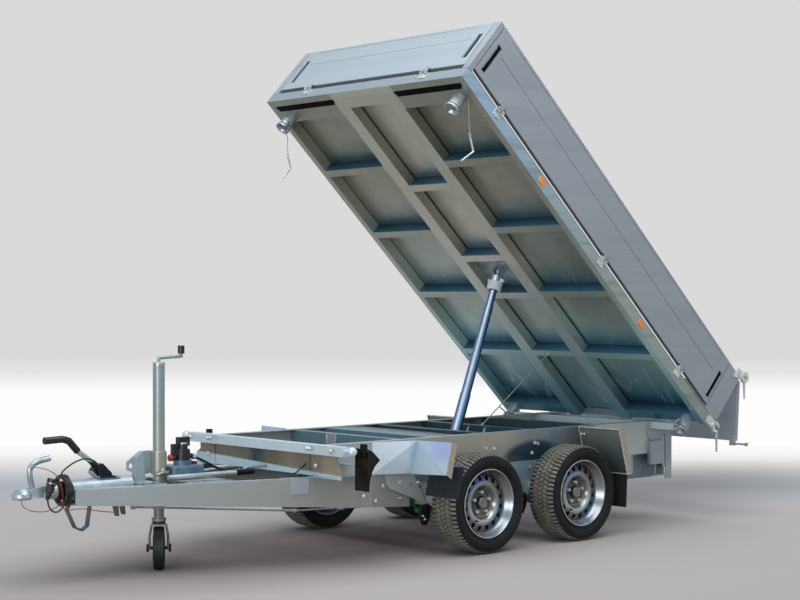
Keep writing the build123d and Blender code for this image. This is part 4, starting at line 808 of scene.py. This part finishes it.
def make_tyre(body, x, side):
    """A hollow carcass with five ribs of tread blocks, slanted except on the shoulders."""
    piece = Piece("road_" + body, "tyre", body)
    centre = Vector((x, side * WHEEL_Y, WHEEL_Z))
    far_side = [(r, -y) for r, y in SIDEWALL] + [(255.0, -74)]
    near_side = [(255.0, 74)] + [(r, y) for r, y in reversed(SIDEWALL)]
    inner = [(172.4, 74), (200, 82), (236, 84), (246, 70), (246, -70), (236, -84), (200, -82), (172.4, -74)]
    piece.turned(centre, LEFT, far_side + near_side + inner, 96, closed_rows=True)
    piece.use("tread")
    for index, rib in enumerate(RIBS):
        for k in range(PITCHES):
            shift = 0.5 * (index % 2) + 0.02 * math.sin(k * 2.4)
            tread_block(piece, centre, side, rib, 2 * math.pi / PITCHES * (k + shift))
    piece.use("tread_floor")
    obj = piece.build(smooth=38)
    # the carcass between the blocks is the groove's floor
    for polygon in obj.data.polygons:
        c = DRAWING.inverted() @ (obj.matrix_world @ polygon.center) - centre
        if polygon.material_index == 0 and abs(c.y) < 76 and math.hypot(c.x, c.z) > GROOVE_R:
            polygon.material_index = piece.looks.index("tread_floor")
    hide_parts("tyre_" + body[6:])


for wheel, (wheel_x, hand) in WHEELS.items():
    make_tyre(wheel, wheel_x, hand)


# ---------------------------------------------------------------- cords
def spline(name, points, diameter, look):
    """A cord as one quadratic spline on its route, in the drawing's millimetres."""
    data = bpy.data.curves.new(name, "CURVE")
    data.dimensions = "3D"
    data.bevel_depth = diameter / 2000
    data.bevel_resolution = 3
    data.resolution_u = 10
    data.use_fill_caps = True
    line = data.splines.new("NURBS")
    line.points.add(len(points) - 1)
    for point, place in zip(line.points, points):
        point.co = (*(DRAWING @ Vector(place)), 1)
    line.order_u = 3
    line.use_endpoint_u = True
    data.materials.append(MATERIALS[look])
    return add(name, data)


def spline_length(points):
    """Length in metres of a quadratic spline with these control points, held at both ends."""
    total, n = 0.0, len(points)
    p = [Vector(q) for q in points]
    for i in range(n - 2):
        a = p[0] if i == 0 else (p[i] + p[i + 1]) / 2
        c = p[n - 1] if i == n - 3 else (p[i + 1] + p[i + 2]) / 2
        b, last = p[i + 1], a
        for k in range(1, 33):
            s = k / 32
            here = a * (1 - s) ** 2 + b * 2 * s * (1 - s) + c * s * s
            total += (here - last).length
            last = here
    return total / 1000


def free_cord(name, nodes_replaced, points, diameter, look, body):
    """A cord that leaves its body at its first point; its diameter is in millimetres."""
    obj = spline(name, points, diameter, look)
    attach(obj, body)
    for node in nodes_replaced:
        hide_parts(node)
    spline_length(points)


# the plug cable: a loop over the bellows, six turns round it and a lead to the plug
plug_in = [(2286, 24, 492), (2288, 28, 520), (2302, 32, 548), (2330, 34, 568), (2368, 34, 577),
           (2408, 32, 570), (2446, 28, 553), (2474, 18, 530), (2486, 10, 513)]
lead = [(2497, 70, 394), (2507, 72, 372), (2524, 72, 350), (2546, 71, 339), (2568, 70, 344),
        (2584, 68, 362), (2591, 66, 384), (2592, 64, 406)]
COIL_TURNS, PER_TURN, COIL_Z = 6, 14, 430
COIL_START, COIL_END = math.radians(14), math.radians(103)
COIL_SWEEP = COIL_TURNS * 2 * math.pi + math.radians(77)


def coil_point(part):
    """A point of the coil: rearward in an outer layer, then forward again in an inner one."""
    angle = COIL_START + part * COIL_SWEEP
    outer = 74.0 - 0.7 * math.sin(angle * 0.6)
    inner = 65.4 + 0.6 * math.sin(angle * 0.6)
    x, r = 2487 - 52 * part, outer
    if part >= 0.5:
        sunk = min(1.0, (part - 0.46) / 0.06)
        x, r = 2461 + 58 * (part - 0.5), outer * (1 - sunk) + inner * sunk
    return x, r * math.sin(angle), COIL_Z + r * math.cos(angle)


coil = [coil_point(k / (COIL_TURNS * PER_TURN)) for k in range(COIL_TURNS * PER_TURN + 1)]
coil.append((2493.5, 70 * math.sin(COIL_END), COIL_Z + 70 * math.cos(COIL_END)))

plug_low, plug_top = Vector((2592, 64, 406)), Vector((2566, 64, 497))
plug_axis = (plug_top - plug_low).normalized()
plug = Piece("trailer_plug", "black_plastic", "chassis")
plug.turned(plug_low, plug_axis, [
    (4.4, -8), (6.0, -7.8), (7.5, -2), (9.0, 4), (10.5, 8), (12.6, 12), (12.9, 22), (12.9, 26), (15, 28),
    (19.6, 32), (19.8, 60), (22.5, 62), (22.8, 66), (22.8, 92), (21, 94.4)], 28)
plug_side = plug_axis.orthogonal().normalized()
for rib in plug.ring(plug_low, plug_side, plug_axis.cross(plug_side), 19.2, 10):
    plug.tube([rib + plug_axis * 34, rib + plug_axis * 58], 1.7, 8)
plug.use("zinc")
plug.turned(plug_low, plug_axis, [(23.0, 70), (23.0, 73), (22.4, 73.4), (22.4, 69.6)], 28, closed_rows=True)
plug_piece = plug.build()
free_cord("plug_cable_line", ("plug_cable", "plug_lead", "plug_and_coil"), plug_in + coil + lead, 8,
          "sheath", "chassis")

red_route = [(2652, 13, 540), (2648, 30, 553), (2618, 46, 550), (2582, 58, 538), (2549, 62, 518),
             (2527, 62, 487), (2513, 62, 446), (2507, 60, 402), (2506, 54, 370), (2494, 44, 347),
             (2464, 34, 337), (2420, 26, 340), (2366, 20, 337), (2308, 18, 324), (2254, 16, 312),
             (2192, 15, 305)]
free_cord("breakaway_line", ("breakaway_cable",), red_route, 4, "red_sheath", "chassis")
ring_route = [(2714, 34, 414), (2718, 42, 400), (2714, 43, 384), (2698, 42, 368), (2672, 40, 355),
              (2640, 36, 347), (2604, 30, 342), (2568, 20, 341), (2536, 8, 345), (2496, 0, 358)]
free_cord("ring_line", ("ring_cable",), ring_route, 4, "red_sheath", "chassis")
hose_route = [(1729, 0, 545), (1690, 0, 531), (1651, 0, 513), (1612, 0, 493), (1572, 0, 475),
              (1531, 0, 462), (1490, 0, 454), (1450, 0, 451)]
free_cord("pump_hose_line", ("pump_hose",), hose_route, 14, "sheath", "chassis")
# the lanyards of the bed's pins start in bed coordinates and hang in the drawing's
UNBED = DRAWING.inverted() @ ON_BED
for hand, start, rest in (
        ("left", (2580, 745, 0), [(524, 746, 2322), (521, 745, 2277), (520, 744, 2232), (514, 745, 2188)]),
        ("right", (2563, -712, -91),
         [(551, -716, 2268), (553, -719, 2228), (551, -720, 2196), (549, -719, 2166)])):
    route = [tuple(UNBED @ Vector(start))] + rest
    free_cord("lanyard_" + hand, ("pin_lanyard_" + hand,), route, 4, "rope_steel", "bed")

# safety rope between chassis and bed
rope = Piece("safety_rope", "rope_steel", None)
rope_a, rope_b = Vector((-298, 0, 587)), Vector((-890, 0, 1006))
rope.tube([rope_a.lerp(rope_b, k / 40) for k in range(41)], 3.2, 10)
rope.use("bright_zinc")
for end, toward in ((rope_a, rope_b), (rope_b, rope_a)):
    way = (toward - end).normalized()
    rope.turned(end, way, [(6, 4), (6.4, 8), (6.4, 34), (5, 38)], 14)
rope_obj = rope.build()
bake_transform(rope_obj)


# ---------------------------------------------------------------- rims
# profiles from the lip inwards: radius, distance outside the wheel's middle
RIM_PROFILE = [(181, 77), (182, 80), (181.5, 84), (178.5, 85.5), (176, 84), (174, 79), (171, 74),
               (167.5, 68), (163, 58), (157, 49), (152, 42), (150.4, 34), (150, 22), (149.6, 22),
               (149, 28), (147, 33)]
HOLE_BAND = (147, 118)
HOLES, HOLE_R, HOLE_RING = 16, 13.0, 133.0
DISC_PROFILE = [(118, 39.5), (113, 40.5), (107, 43.5), (100, 45), (94, 43.5), (88, 37), (82, 27),
                (77, 20), (71, 17), (66, 16.5), (62, 19), (31, 19)]
CAP_PROFILE = [(30.5, 19), (30.5, 34), (29, 37.5), (25, 39.5), (24, 38.2), (12, 39), (0, 39.4)]


def band_height(r):
    """How far out the pierced ring of the disc stands at a radius."""
    k = (HOLE_BAND[0] - r) / (HOLE_BAND[0] - HOLE_BAND[1])
    return 33 + 6.5 * math.sin(min(1.0, max(0.0, k)) * math.pi / 2)


def make_rim(body, x, side):
    """Pressed steel wheel, seen from outside: lip, barrel, pierced ring, ridge, bolt seat and cap."""
    piece = Piece("rim_disc_" + body, "silver", body)
    segments = HOLES * 4

    def spot(r, a, d):
        return Vector((x + side * r * math.sin(a), side * (WHEEL_Y + d), WHEEL_Z + r * math.cos(a)))

    def ring(r, d):
        return [spot(r, 2 * math.pi * k / segments, d) for k in range(segments)]

    def loft(profile):
        piece.loft([ring(r, d) for r, d in profile], closed_ends=False)

    back = [(170, -77), (181, -79), (181, -84), (176, -85), (170, -78), (164, -52), (150.5, -22), (150, 22)]
    tyre_side = [(172.2, -74), (171.5, -60), (156, -24), (155.5, 24), (171.5, 62), (172.2, 74), (181, 77)]
    loft(RIM_PROFILE + [(HOLE_BAND[0], band_height(HOLE_BAND[0]))])
    loft(back)
    loft(tyre_side)
    loft(DISC_PROFILE + CAP_PROFILE)
    middle, half = sum(HOLE_BAND) / 2, (HOLE_BAND[0] - HOLE_BAND[1]) / 2
    # round each hole: a square of the band, the hole's rounded rim and its wall
    border = [(-1, -1), (-0.5, -1), (0, -1), (0.5, -1), (1, -1), (1, -0.5), (1, 0), (1, 0.5), (1, 1),
              (0.5, 1), (0, 1), (-0.5, 1), (-1, 1), (-1, 0.5), (-1, 0), (-1, -0.5)]
    for k in range(HOLES):
        around = 2 * math.pi * (k + 0.5) / HOLES
        rows = [[], [], [], []]
        for across, out in border:
            r = middle + half * out
            rows[0].append(spot(r, around + across * math.pi / HOLES, band_height(r)))
            way = math.atan2(out, across)
            for row, radius, sunk in ((1, HOLE_R + 1.2, 0.0), (2, HOLE_R, 1.0), (3, HOLE_R, 5.0)):
                r = HOLE_RING + radius * math.sin(way)
                rows[row].append(spot(r, around + radius * math.cos(way) / HOLE_RING, band_height(r) - sunk))
        piece.loft(rows, closed_ends=False)
    obj = piece.build(smooth=50, weld=True)
    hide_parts("rim_" + body[6:])


BOLT_RING, VALVE_RING, VALVE_ANGLE = 56, 108, 0.6


def make_wheel_details(body, x, side):
    """Painted shade behind the disc's holes and round the cap and bolts, bolt heads, brake drum and valve.
    """
    piece = Piece("hub_" + body, "painted_shade_black", body)
    centre = Vector((x, side * WHEEL_Y, WHEEL_Z))
    out = Vector((0, side, 0))
    angles = [2 * math.pi * i / 5 + math.pi / 2 for i in range(5)]
    bolts = [centre + Vector((side * math.cos(a), 0, math.sin(a))) * BOLT_RING for a in angles]
    piece.turned(centre, out, [(100, 14), (149.5, 14), (149.5, 19), (100, 19)], 64, closed_rows=True)
    piece.turned(centre, out, [(31.5, 19.1), (35, 19.1), (35, 19.8), (31.5, 19.8)], 32, closed_rows=True)
    piece.use("bright_zinc")
    for where in bolts:
        piece.turned(where, out, [(12, 18), (12, 21), (10.4, 22.4), (10.0, 30), (8.2, 32.5), (0, 32.5)], 6)
    piece.use("painted_shade_black")
    for where in bolts:
        piece.turned(where, out, [(12.2, 18.6), (15, 18.6), (15, 19.6), (12.2, 19.6)], 16, closed_rows=True)
    piece.use("cast_zinc")
    drum = [(20, -75), (100, -75), (100, -30), (92, -22), (70, -18), (70, 12), (20, 12)]
    piece.turned(centre, out, drum, 40, closed_rows=True)
    piece.use("rubber")
    valve = centre + Vector((side * math.sin(VALVE_ANGLE), 0, -math.cos(VALVE_ANGLE))) * VALVE_RING
    piece.turned(valve, out, [(5.5, 40), (5.0, 48), (3.6, 51), (3.6, 61), (0, 62)], 12)
    piece.build()


for wheel, (wheel_x, hand) in WHEELS.items():
    make_rim(wheel, wheel_x, hand)
    make_wheel_details(wheel, wheel_x, hand)


# ---------------------------------------------------------------- fittings on the bed
LATCHES = (99.0, 2645.0)       # the latches' places along the bed
LATCH_Y = 711.0                # the front wall's latches, to the left and right
SLOT_HALF = 16.6
SIDE_FACE, FRONT_FACE = 798.0, 2720.0

# a block of painted shade fills each latch slot, with the latch lever in zinc
for hand, body in ((1, "left_side"), (-1, "right_side")):
    slots = Piece("latch_slots_" + body, "painted_shade_black", body, ON_BED)
    for a in LATCHES:
        slots.block(a - SLOT_HALF, a + SLOT_HALF, hand * 796.4, hand * SIDE_FACE, 130.4, 321.6)
    slots.use("cast_zinc")
    for a in LATCHES:
        slots.block(a + 8, a + 12, hand * SIDE_FACE, hand * (SIDE_FACE + 5), 146, 306)
    slots.build(bevel=0.8)
# the front wall's latch slots: painted shade and latch levers too
slots = Piece("latch_slots_front", "painted_shade_black", "front_wall", ON_BED)
for y in (LATCH_Y, -LATCH_Y):
    slots.block(2718.4, FRONT_FACE, y - SLOT_HALF, y + SLOT_HALF, 156.4, 341.6)
slots.use("cast_zinc")
for y in (LATCH_Y, -LATCH_Y):
    slots.block(FRONT_FACE, FRONT_FACE + 5, y + 8, y + 12, 172, 326)
slots.build(bevel=0.8)

# painted shadow in the gaps at the front of the bed's underside, and a plate between the two long beams
gap = Piece("front_gap_painted_shadow", "painted_shade_black", "bed", ON_BED)
for hand in (1, -1):
    gap.block(2650, 2688, hand * 262.0, hand * 752.0, -0.7, 0.2)
gap.use("under_steel")
gap.block(2664, 2689, -161, 161, -0.4, 3.0)
gap.build()


# ---------------------------------------------------------------- fittings on the chassis
RAIL_Y = 475.0                 # outer face of the side rails


def rail_bolts():
    """Bright bolts and nuts where pieces meet the side rails, beams and drawbar."""
    piece = Piece("frame_bolts", "bright_zinc", "chassis")
    for hand in (1, -1):
        out = (0, hand, 0)
        for x, z in ((128, 517), (66, 513), (-258, 527), (-282, 520), (-234, 473)):
            piece.bolt((x, hand * (RAIL_Y + 0.5), z), out, 9, 7)
        for x, z in ((515, 396), (635, 372), (-215, 396), (-95, 372)):
            piece.bolt((x, hand * (RAIL_Y + 6.5), z), out, 8, 6)
        for x, z in ((1060, 398), (1010, 330), (930, 300), (760, 300), (760, 380), (880, 372)):
            piece.bolt((x, hand * (RAIL_Y + 6), z), out, 8, 6)
        for y, z in ((410, 588), (596, 584), (-431, 588)):
            piece.bolt((1324.5, hand * y, z), AHEAD, 10, 7, dome=True)
        piece.bolt((1305, hand * 455, 502), AHEAD, 10, 7, dome=True)
        for y in (-431, -377):
            piece.bolt((675, y, 580), AHEAD, 8, 6, dome=True)
    piece.build()


def wheel_plate():
    """Plates with a tab under the rails between the wheels; a bracket ahead of each wheel, black for painted
    shade.
    """
    piece = Piece("axle_side_plates", "plate_blue", "chassis")
    plate_y, bracket_y, bracket_depth = 468, 486, 12
    for hand in (1, -1):
        y = hand * plate_y
        plate = [(-60, 434.8), (-300, 434.8), (-290, 300), (-215, 236), (-150, 250), (-100, 350)]
        piece.slab([(x, y, z) for x, z in plate], (0, hand * 6, 0))
        piece.use("galvanised")
        piece.slab([(-175, y, 300), (-215, y, 290), (-205, y, 216), (-165, y, 216)], (0, hand * 10, 0))
        piece.use("plate_blue")
    # the brackets are black: painted shade on the bracket
    piece.use("rubber")
    for x, hand in WHEELS.values():
        y = hand * bracket_y
        bracket = [(195, 262), (262, 252), (268, 190), (252, 150), (222, 146), (198, 190)]
        piece.slab([(x + ahead, y, z) for ahead, z in bracket], (0, hand * bracket_depth, 0))
    piece.use("bright_zinc")
    for x, hand in WHEELS.values():
        y = hand * (bracket_y + bracket_depth)
        piece.bolt((x + 236, y, 178), (0, hand, 0), 6, 6)
        piece.bolt((x + 250, y, 196), (0, hand, 0), 5, 5)
    piece.build(bevel=2)


def rear_inner_panels():
    """Sheets behind the rails' windows, darkened with painted shade, and a plate with two edges on the
    foremost cross member.
    """
    piece = Piece("rear_inner_panels", "inner_sheet_painted_shade", "chassis")
    sheet_in, sheet_out, post_out = 424, 430, 452
    for hand in (1, -1):
        piece.block(-1440, -1020, hand * sheet_in, hand * sheet_out, 262, 440)
        piece.use("galvanised")
        piece.block(-1128, -1090, hand * sheet_out, hand * post_out, 300, 420)
        piece.use("inner_sheet_painted_shade")
    low, high = 508, 597
    piece.use("bright_zinc")
    for y in (-158, -82):
        piece.block(726, 731, y, y + 8, low, high)
    piece.use("galvanised")
    piece.block(725, 727, -150, -82, low, high)
    piece.build(bevel=0.8)


def guard_edges():
    """Rolled bright edges and bolts of the rear mudguards, and thin edges of the front ones."""
    piece = Piece("guard_edges", "bright_zinc", "chassis")
    inner, outer = 482, 783
    top_x, top_z, foot_x, foot_z = -613, 600, -686, 347
    for hand in (1, -1):
        def on(x, y, z):
            return (x, hand * y, z)
        piece.tube([on(top_x, inner, top_z - 2), on(foot_x, inner, foot_z + 1)], 4.2, 8)
        piece.tube([on(top_x, inner, top_z), on(top_x, outer, top_z)], 4.2, 8)
        piece.tube([on(top_x, outer, top_z), on(foot_x, outer, foot_z), on(-724, outer, foot_z)], 3.4, 8)
        piece.tube([on(foot_x, inner, foot_z), on(foot_x, outer, foot_z)], 3.4, 8)
        piece.tube([on(699, 500, 424), on(699, 764, 436)], 2.0, 8)
        piece.tube([on(688, 787, 600), on(694, 773, 499), on(699, 764, 438)], 2.2, 8)
        for y in (500, 520):
            piece.bolt(on(-618, y, 560), AHEAD, 6, 4, dome=True)
    piece.build()


# the ram's foot in the drawing, and its head in bed coordinates
RAM_FOOT, RAM_HEAD = (-40, 0, 410), (1271, 0, 34)


def ram_fittings():
    """White collar with two ears at the head of the ram, and a dark ring below it."""
    head = on_bed(*RAM_HEAD)
    way = (head - at(*RAM_FOOT)).normalized()
    top = DRAWING.inverted() @ head
    piece = Piece("ram_collar", "white_paint", "ram_rod")
    collar = [(22.2, -119), (41, -119), (42.4, -117), (42.4, -70), (40, -66), (40, -36), (38, -33.5),
              (12, -33.5)]
    piece.turned(top, way, collar, 40)
    side = Vector(LEFT)
    across = way.cross(side) * 9
    for hand in (1, -1):
        corners = ((72, 38), (46, 38), (50, 60), (66, 60))
        ear = [top - way * down + side * hand * out for down, out in corners]
        piece.slab([p - across for p in ear], across * 2)
    piece.build(bevel=1.5)
    lines = Piece("ram_rings", "chrome_dark", "ram_rod")
    lines.turned(top, way, [(22.4, -124), (26, -124), (26, -120), (22.4, -120)], 32, closed_rows=True)
    lines.build()


def pump_fittings():
    """Red release knob, tank cap, hose union, foot bolts and valve cap of the hand pump."""
    piece = Piece("pump_knob", "red_knob", "chassis")
    knob = [(6, -4), (7, 4), (15, 8), (17, 12), (17.4, 20), (15, 25), (0, 26)]
    piece.turned((1845, 0, 545), AHEAD, knob, 24)
    piece.use("zinc")
    piece.turned((1789, 0, 612), UP, [(26.5, -2), (26.5, 4), (22, 7), (0, 7)], 24)
    piece.turned((1729, 0, 545), (-1, 0, 0), [(15, -6), (15, 12), (11, 14), (11, 22)], 6)
    piece.use("bright_zinc")
    for x in (1715, 1863):
        for y in (50, -50):
            piece.bolt((x, y, 441), UP, 8, 6)
    piece.use("black_plastic")
    piece.turned((1720, 0, 509), UP, [(16, -1), (16, 8), (13, 12), (0, 12)], 20)
    piece.build()


def light_cable():
    """Cable of the lights along the left drawbar beam, with its clips."""
    route = [(1262, 330, 505), (1290, 322, 480), (1330, 318, 455), (1390, 305, 441), (1480, 280, 440),
             (1600, 246, 440), (1720, 212, 440), (1860, 172, 440), (1990, 136, 440), (2100, 108, 440)]
    piece = Piece("light_cable", "sheath", "chassis")
    piece.tube(curve_points(route, 6), 4.0, 10)
    piece.use("black_plastic")
    for a, b in zip(route[3:], route[4:]):
        where = (Vector(a) + Vector(b)) / 2
        way = (Vector(b) - Vector(a)).normalized()
        piece.turned(where, way, [(5.6, -4), (6.2, -3.4), (6.2, 3.4), (5.6, 4)], 14)
    piece.build()


def brake_fittings():
    """Brake cables at their equaliser, and the turnbuckle of the brake rod."""
    piece = Piece("brake_equaliser", "bright_zinc", "chassis")
    for y in (-56, 56):
        piece.tube([(793, y, 214), (690, y * 1.3, 210), (560, y * 2.2, 230)], 4, 8)
        piece.turned((800, y, 214), AHEAD, [(9, 0), (9, 10), (6, 12), (6, 24), (0, 24)], 6)
    piece.tube([(1113, 44, 224), (1180, 44, 231)], 7.5, 12)
    piece.turned((1113, 44, 224), (1, 0, 0.07), [(10, -14), (10, 0), (7, 2)], 6)
    piece.build()


def jockey_fittings():
    """Brass screw and nut of the clamp, cap and rings of the tube, and the fork's legs and hub covers."""
    piece = Piece("jockey_screw", "brass", "chassis")
    piece.tube([(1940, 56, 483), (1982, 58, 470)], 7, 12)
    piece.use("zinc")
    piece.turned((1940, 38, 490), LEFT, [(12, 0), (12, 14), (9, 16), (9, 22), (0, 22)], 6)
    piece.turned((JOCKEY_X, 0, 1020), UP, [(30.5, -16), (30.5, -2), (27, 1.2), (0, 1.2)], 32)
    piece.use("rubber")
    piece.turned((JOCKEY_X, 0, 0), UP, [(30, 227), (32, 228), (32, 236), (30, 237)], 32)
    piece.use("zinc")
    piece.turned((JOCKEY_X, 0, 580), UP, [(29.9, 0), (36, 0), (35, 4), (29.9, 4)], 32, closed_rows=True)
    piece.build()
    swivel = math.radians(56)
    axle = Vector((-math.sin(swivel), math.cos(swivel), 0))
    hub_z, knee_z, head_z = 106, 165, 221
    piece = Piece("jockey_fork_ends", "rubber", "jockey_fork")

    def spot(z, out):
        return Vector((JOCKEY_X, 0, z)) + axle * out

    for side in (1, -1):
        profile = [(8.6, 0), (19, 0), (21, 3), (21, 9), (17, 12), (8.6, 12)]
        piece.turned(spot(hub_z, side * 49), axle * side, profile, 24, closed_rows=True)
    piece.use("jockey_zinc")
    for side in (1, -1):
        piece.tube([spot(hub_z, side * 45.5), spot(knee_z, side * 45.5), spot(head_z, side * 34.5)], 6.5, 8)
    piece.build()


def lamp_fittings():
    """Lenses of the rear lamps, and prisms of the side reflectors."""
    piece = Piece("lamp_glass", "red_lens", "chassis")
    lens_back, lens_front, lens_in, lens_out = -1466.5, -1462, 409, 466
    for hand in (1, -1):
        for z0, z1, look in ((334, 394, "red_lens"), (398, 456, "orange"), (460, 516, "red_lens")):
            piece.use(look)
            piece.block(lens_back, lens_front, hand * lens_in, hand * lens_out, z0, z1)
    piece.build(bevel=2)
    pitch_a, pitch_h = 7.8, 8
    for name, hand in (("left", 1), ("right", -1)):
        cells = Piece("reflector_" + name, "orange", "bed", ON_BED)
        for a in (1947.0, 831.0):
            for i in range(6):
                for j in range(4):
                    near, low = a - 23 + i * pitch_a, 20.5 + j * pitch_h
                    cells.block(near, near + pitch_a - 1, hand * 811, hand * 811.8, low, low + pitch_h - 1)
        cells.build()


rail_bolts()
wheel_plate()
rear_inner_panels()
guard_edges()
ram_fittings()
pump_fittings()
light_cable()
brake_fittings()
jockey_fittings()
lamp_fittings()


# ---------------------------------------------------------------- studio
FLOOR_RADIUS = 120
FLOOR_REACH = 40.0             # metres that the floor's tones are spread over
SKY_STRENGTH = 0.78
# painted shadows on the floor, wide and soft, behind the trailer and under it: minus the middle, 1 / radius,
# depth, tint
PAINTED_FLOOR_SHADOWS = (((3.2, 0.9, 0), (0.34, 0.62, 0), 0.7, (0.42, 0.4, 0.4)),
               ((-0.3, 0.0, 0), (0.36, 0.8, 0), 1.0, (0.36, 0.32, 0.32)))


def backdrop_tone(t, away):
    """Grey ground near the trailer, a white band behind it and pale grey beyond."""
    greys = ((0.075, 187), (0.1, 214), (0.135, 246), (0.16, 255), (0.36, 255), (0.435, 243), (0.53, 228),
             (0.68, 219), (0.8, 218), (1.0, 218))
    ground = [(0.0, 190, 182, 178), (0.045, 190, 182, 178)]
    return t.ramp(t.spread(away, 0.0, FLOOR_REACH), ground + [(place, v, v, v) for place, v in greys])


def make_world():
    """Light from a pale sky over warm ground; the camera sees an even grey."""
    world = bpy.data.worlds.new("studio")
    bpy.context.scene.world = world
    world.use_nodes = True
    t = Tree(world.node_tree)
    t.tree.nodes.clear()
    path = t.new("LightPath").outputs
    up = t.split(t.new("TexCoord").outputs["Generated"])[2]
    light = t.ramp(t.spread(up, -1.0, 1.0), [
        (0.0, 150, 146, 138), (0.44, 160, 156, 148), (0.50, 222, 224, 224),
        (0.62, 226, 234, 242), (1.0, 216, 230, 248)])
    lit = t.new("Background", {"Color": light, "Strength": SKY_STRENGTH})
    seen = t.new("Background", {"Color": (*srgb(218, 218, 218), 1), "Strength": 1.0})
    both = t.new("MixShader", {0: path["Is Camera Ray"], 1: lit.outputs[0], 2: seen.outputs[0]})
    t.new("OutputWorld", {"Surface": both.outputs[0]})


def make_floor():
    """A round floor; near the trailer it takes light and shade and carries painted shadows, further off it
    shows its own tone.
    """
    mesh = bpy.data.meshes.new("floor")
    bm = bmesh.new()
    bmesh.ops.create_circle(bm, cap_ends=True, segments=96, radius=FLOOR_RADIUS)
    bm.to_mesh(mesh)
    bm.free()
    floor = add("floor", mesh)
    mat = bpy.data.materials.new("floor")
    mat.use_nodes = True
    t = Tree(mat.node_tree)
    t.tree.nodes.clear()
    turned = t.place(turn=(0, 0, -VIEW_YAW))
    flat = t.new("Mapping", {"Vector": turned, "Scale": (1, 0.4, 0)}).outputs[0]
    away = t.length(flat)
    tone = backdrop_tone(t, away)
    ahead = t.split(turned)[0]
    stops = [(0.0, 160, 153, 150), (0.5, 173, 166, 162), (1.0, 190, 182, 178)]
    near = t.ramp(t.spread(ahead, -3.0, 1.5), stops)
    tone = t.mix(t.ease(ahead, 1.2, 1.8), near, tone)
    # the painted shadows darken the floor's tone
    for shift, scale, depth, shade in PAINTED_FLOOR_SHADOWS:
        spot = t.new("Mapping", {"Vector": t.place(move=shift), "Scale": scale}).outputs[0]
        tone = t.tint(t.spread(t.length(spot), 0.1, 1.0, depth, 0.0, smooth=True), tone, shade)
    fine = t.noise(t.place(), 30.0, 3.0)
    tone = t.mix(t.spread(fine, 0.3, 0.7, 0.0, 0.02), tone, (0.3, 0.3, 0.3))
    matt = t.new("BsdfDiffuse", {"Color": tone})
    glow = t.new("Emission", {"Color": tone, "Strength": 1.0})
    path = t.new("LightPath").outputs
    seen = t.math("MAXIMUM", path["Is Camera Ray"],
                  t.math("MAXIMUM", path["Is Glossy Ray"], path["Is Transmission Ray"]))
    far = t.ease(away, 2.6, 4.6)
    both = t.new("MixShader", {0: t.times(seen, far), 1: matt.outputs[0], 2: glow.outputs[0]})
    t.new("OutputMaterial", {"Surface": both.outputs[0]})
    floor.data.materials.append(mat)


def make_lamp(name, place, size, power, tint):
    lamp = bpy.data.lights.new(name, "AREA")
    lamp.shape = "DISK"
    lamp.size = size
    lamp.energy = power
    lamp.color = tint
    obj = add(name, lamp)
    obj.location = place
    obj.rotation_euler = (Vector((0, 0, 0.8)) - Vector(place)).to_track_quat("-Z", "Y").to_euler()
    obj.visible_camera = False


make_world()
make_floor()
make_lamp("overhead", (0.6, 1.4, 5.5), 6.0, 260, (1, 1, 1))
make_lamp("front", (7.0, 3.4, 0.9), 4.5, 230, (0.98, 0.99, 1))
bpy.context.scene.view_settings.view_transform = "Standard"
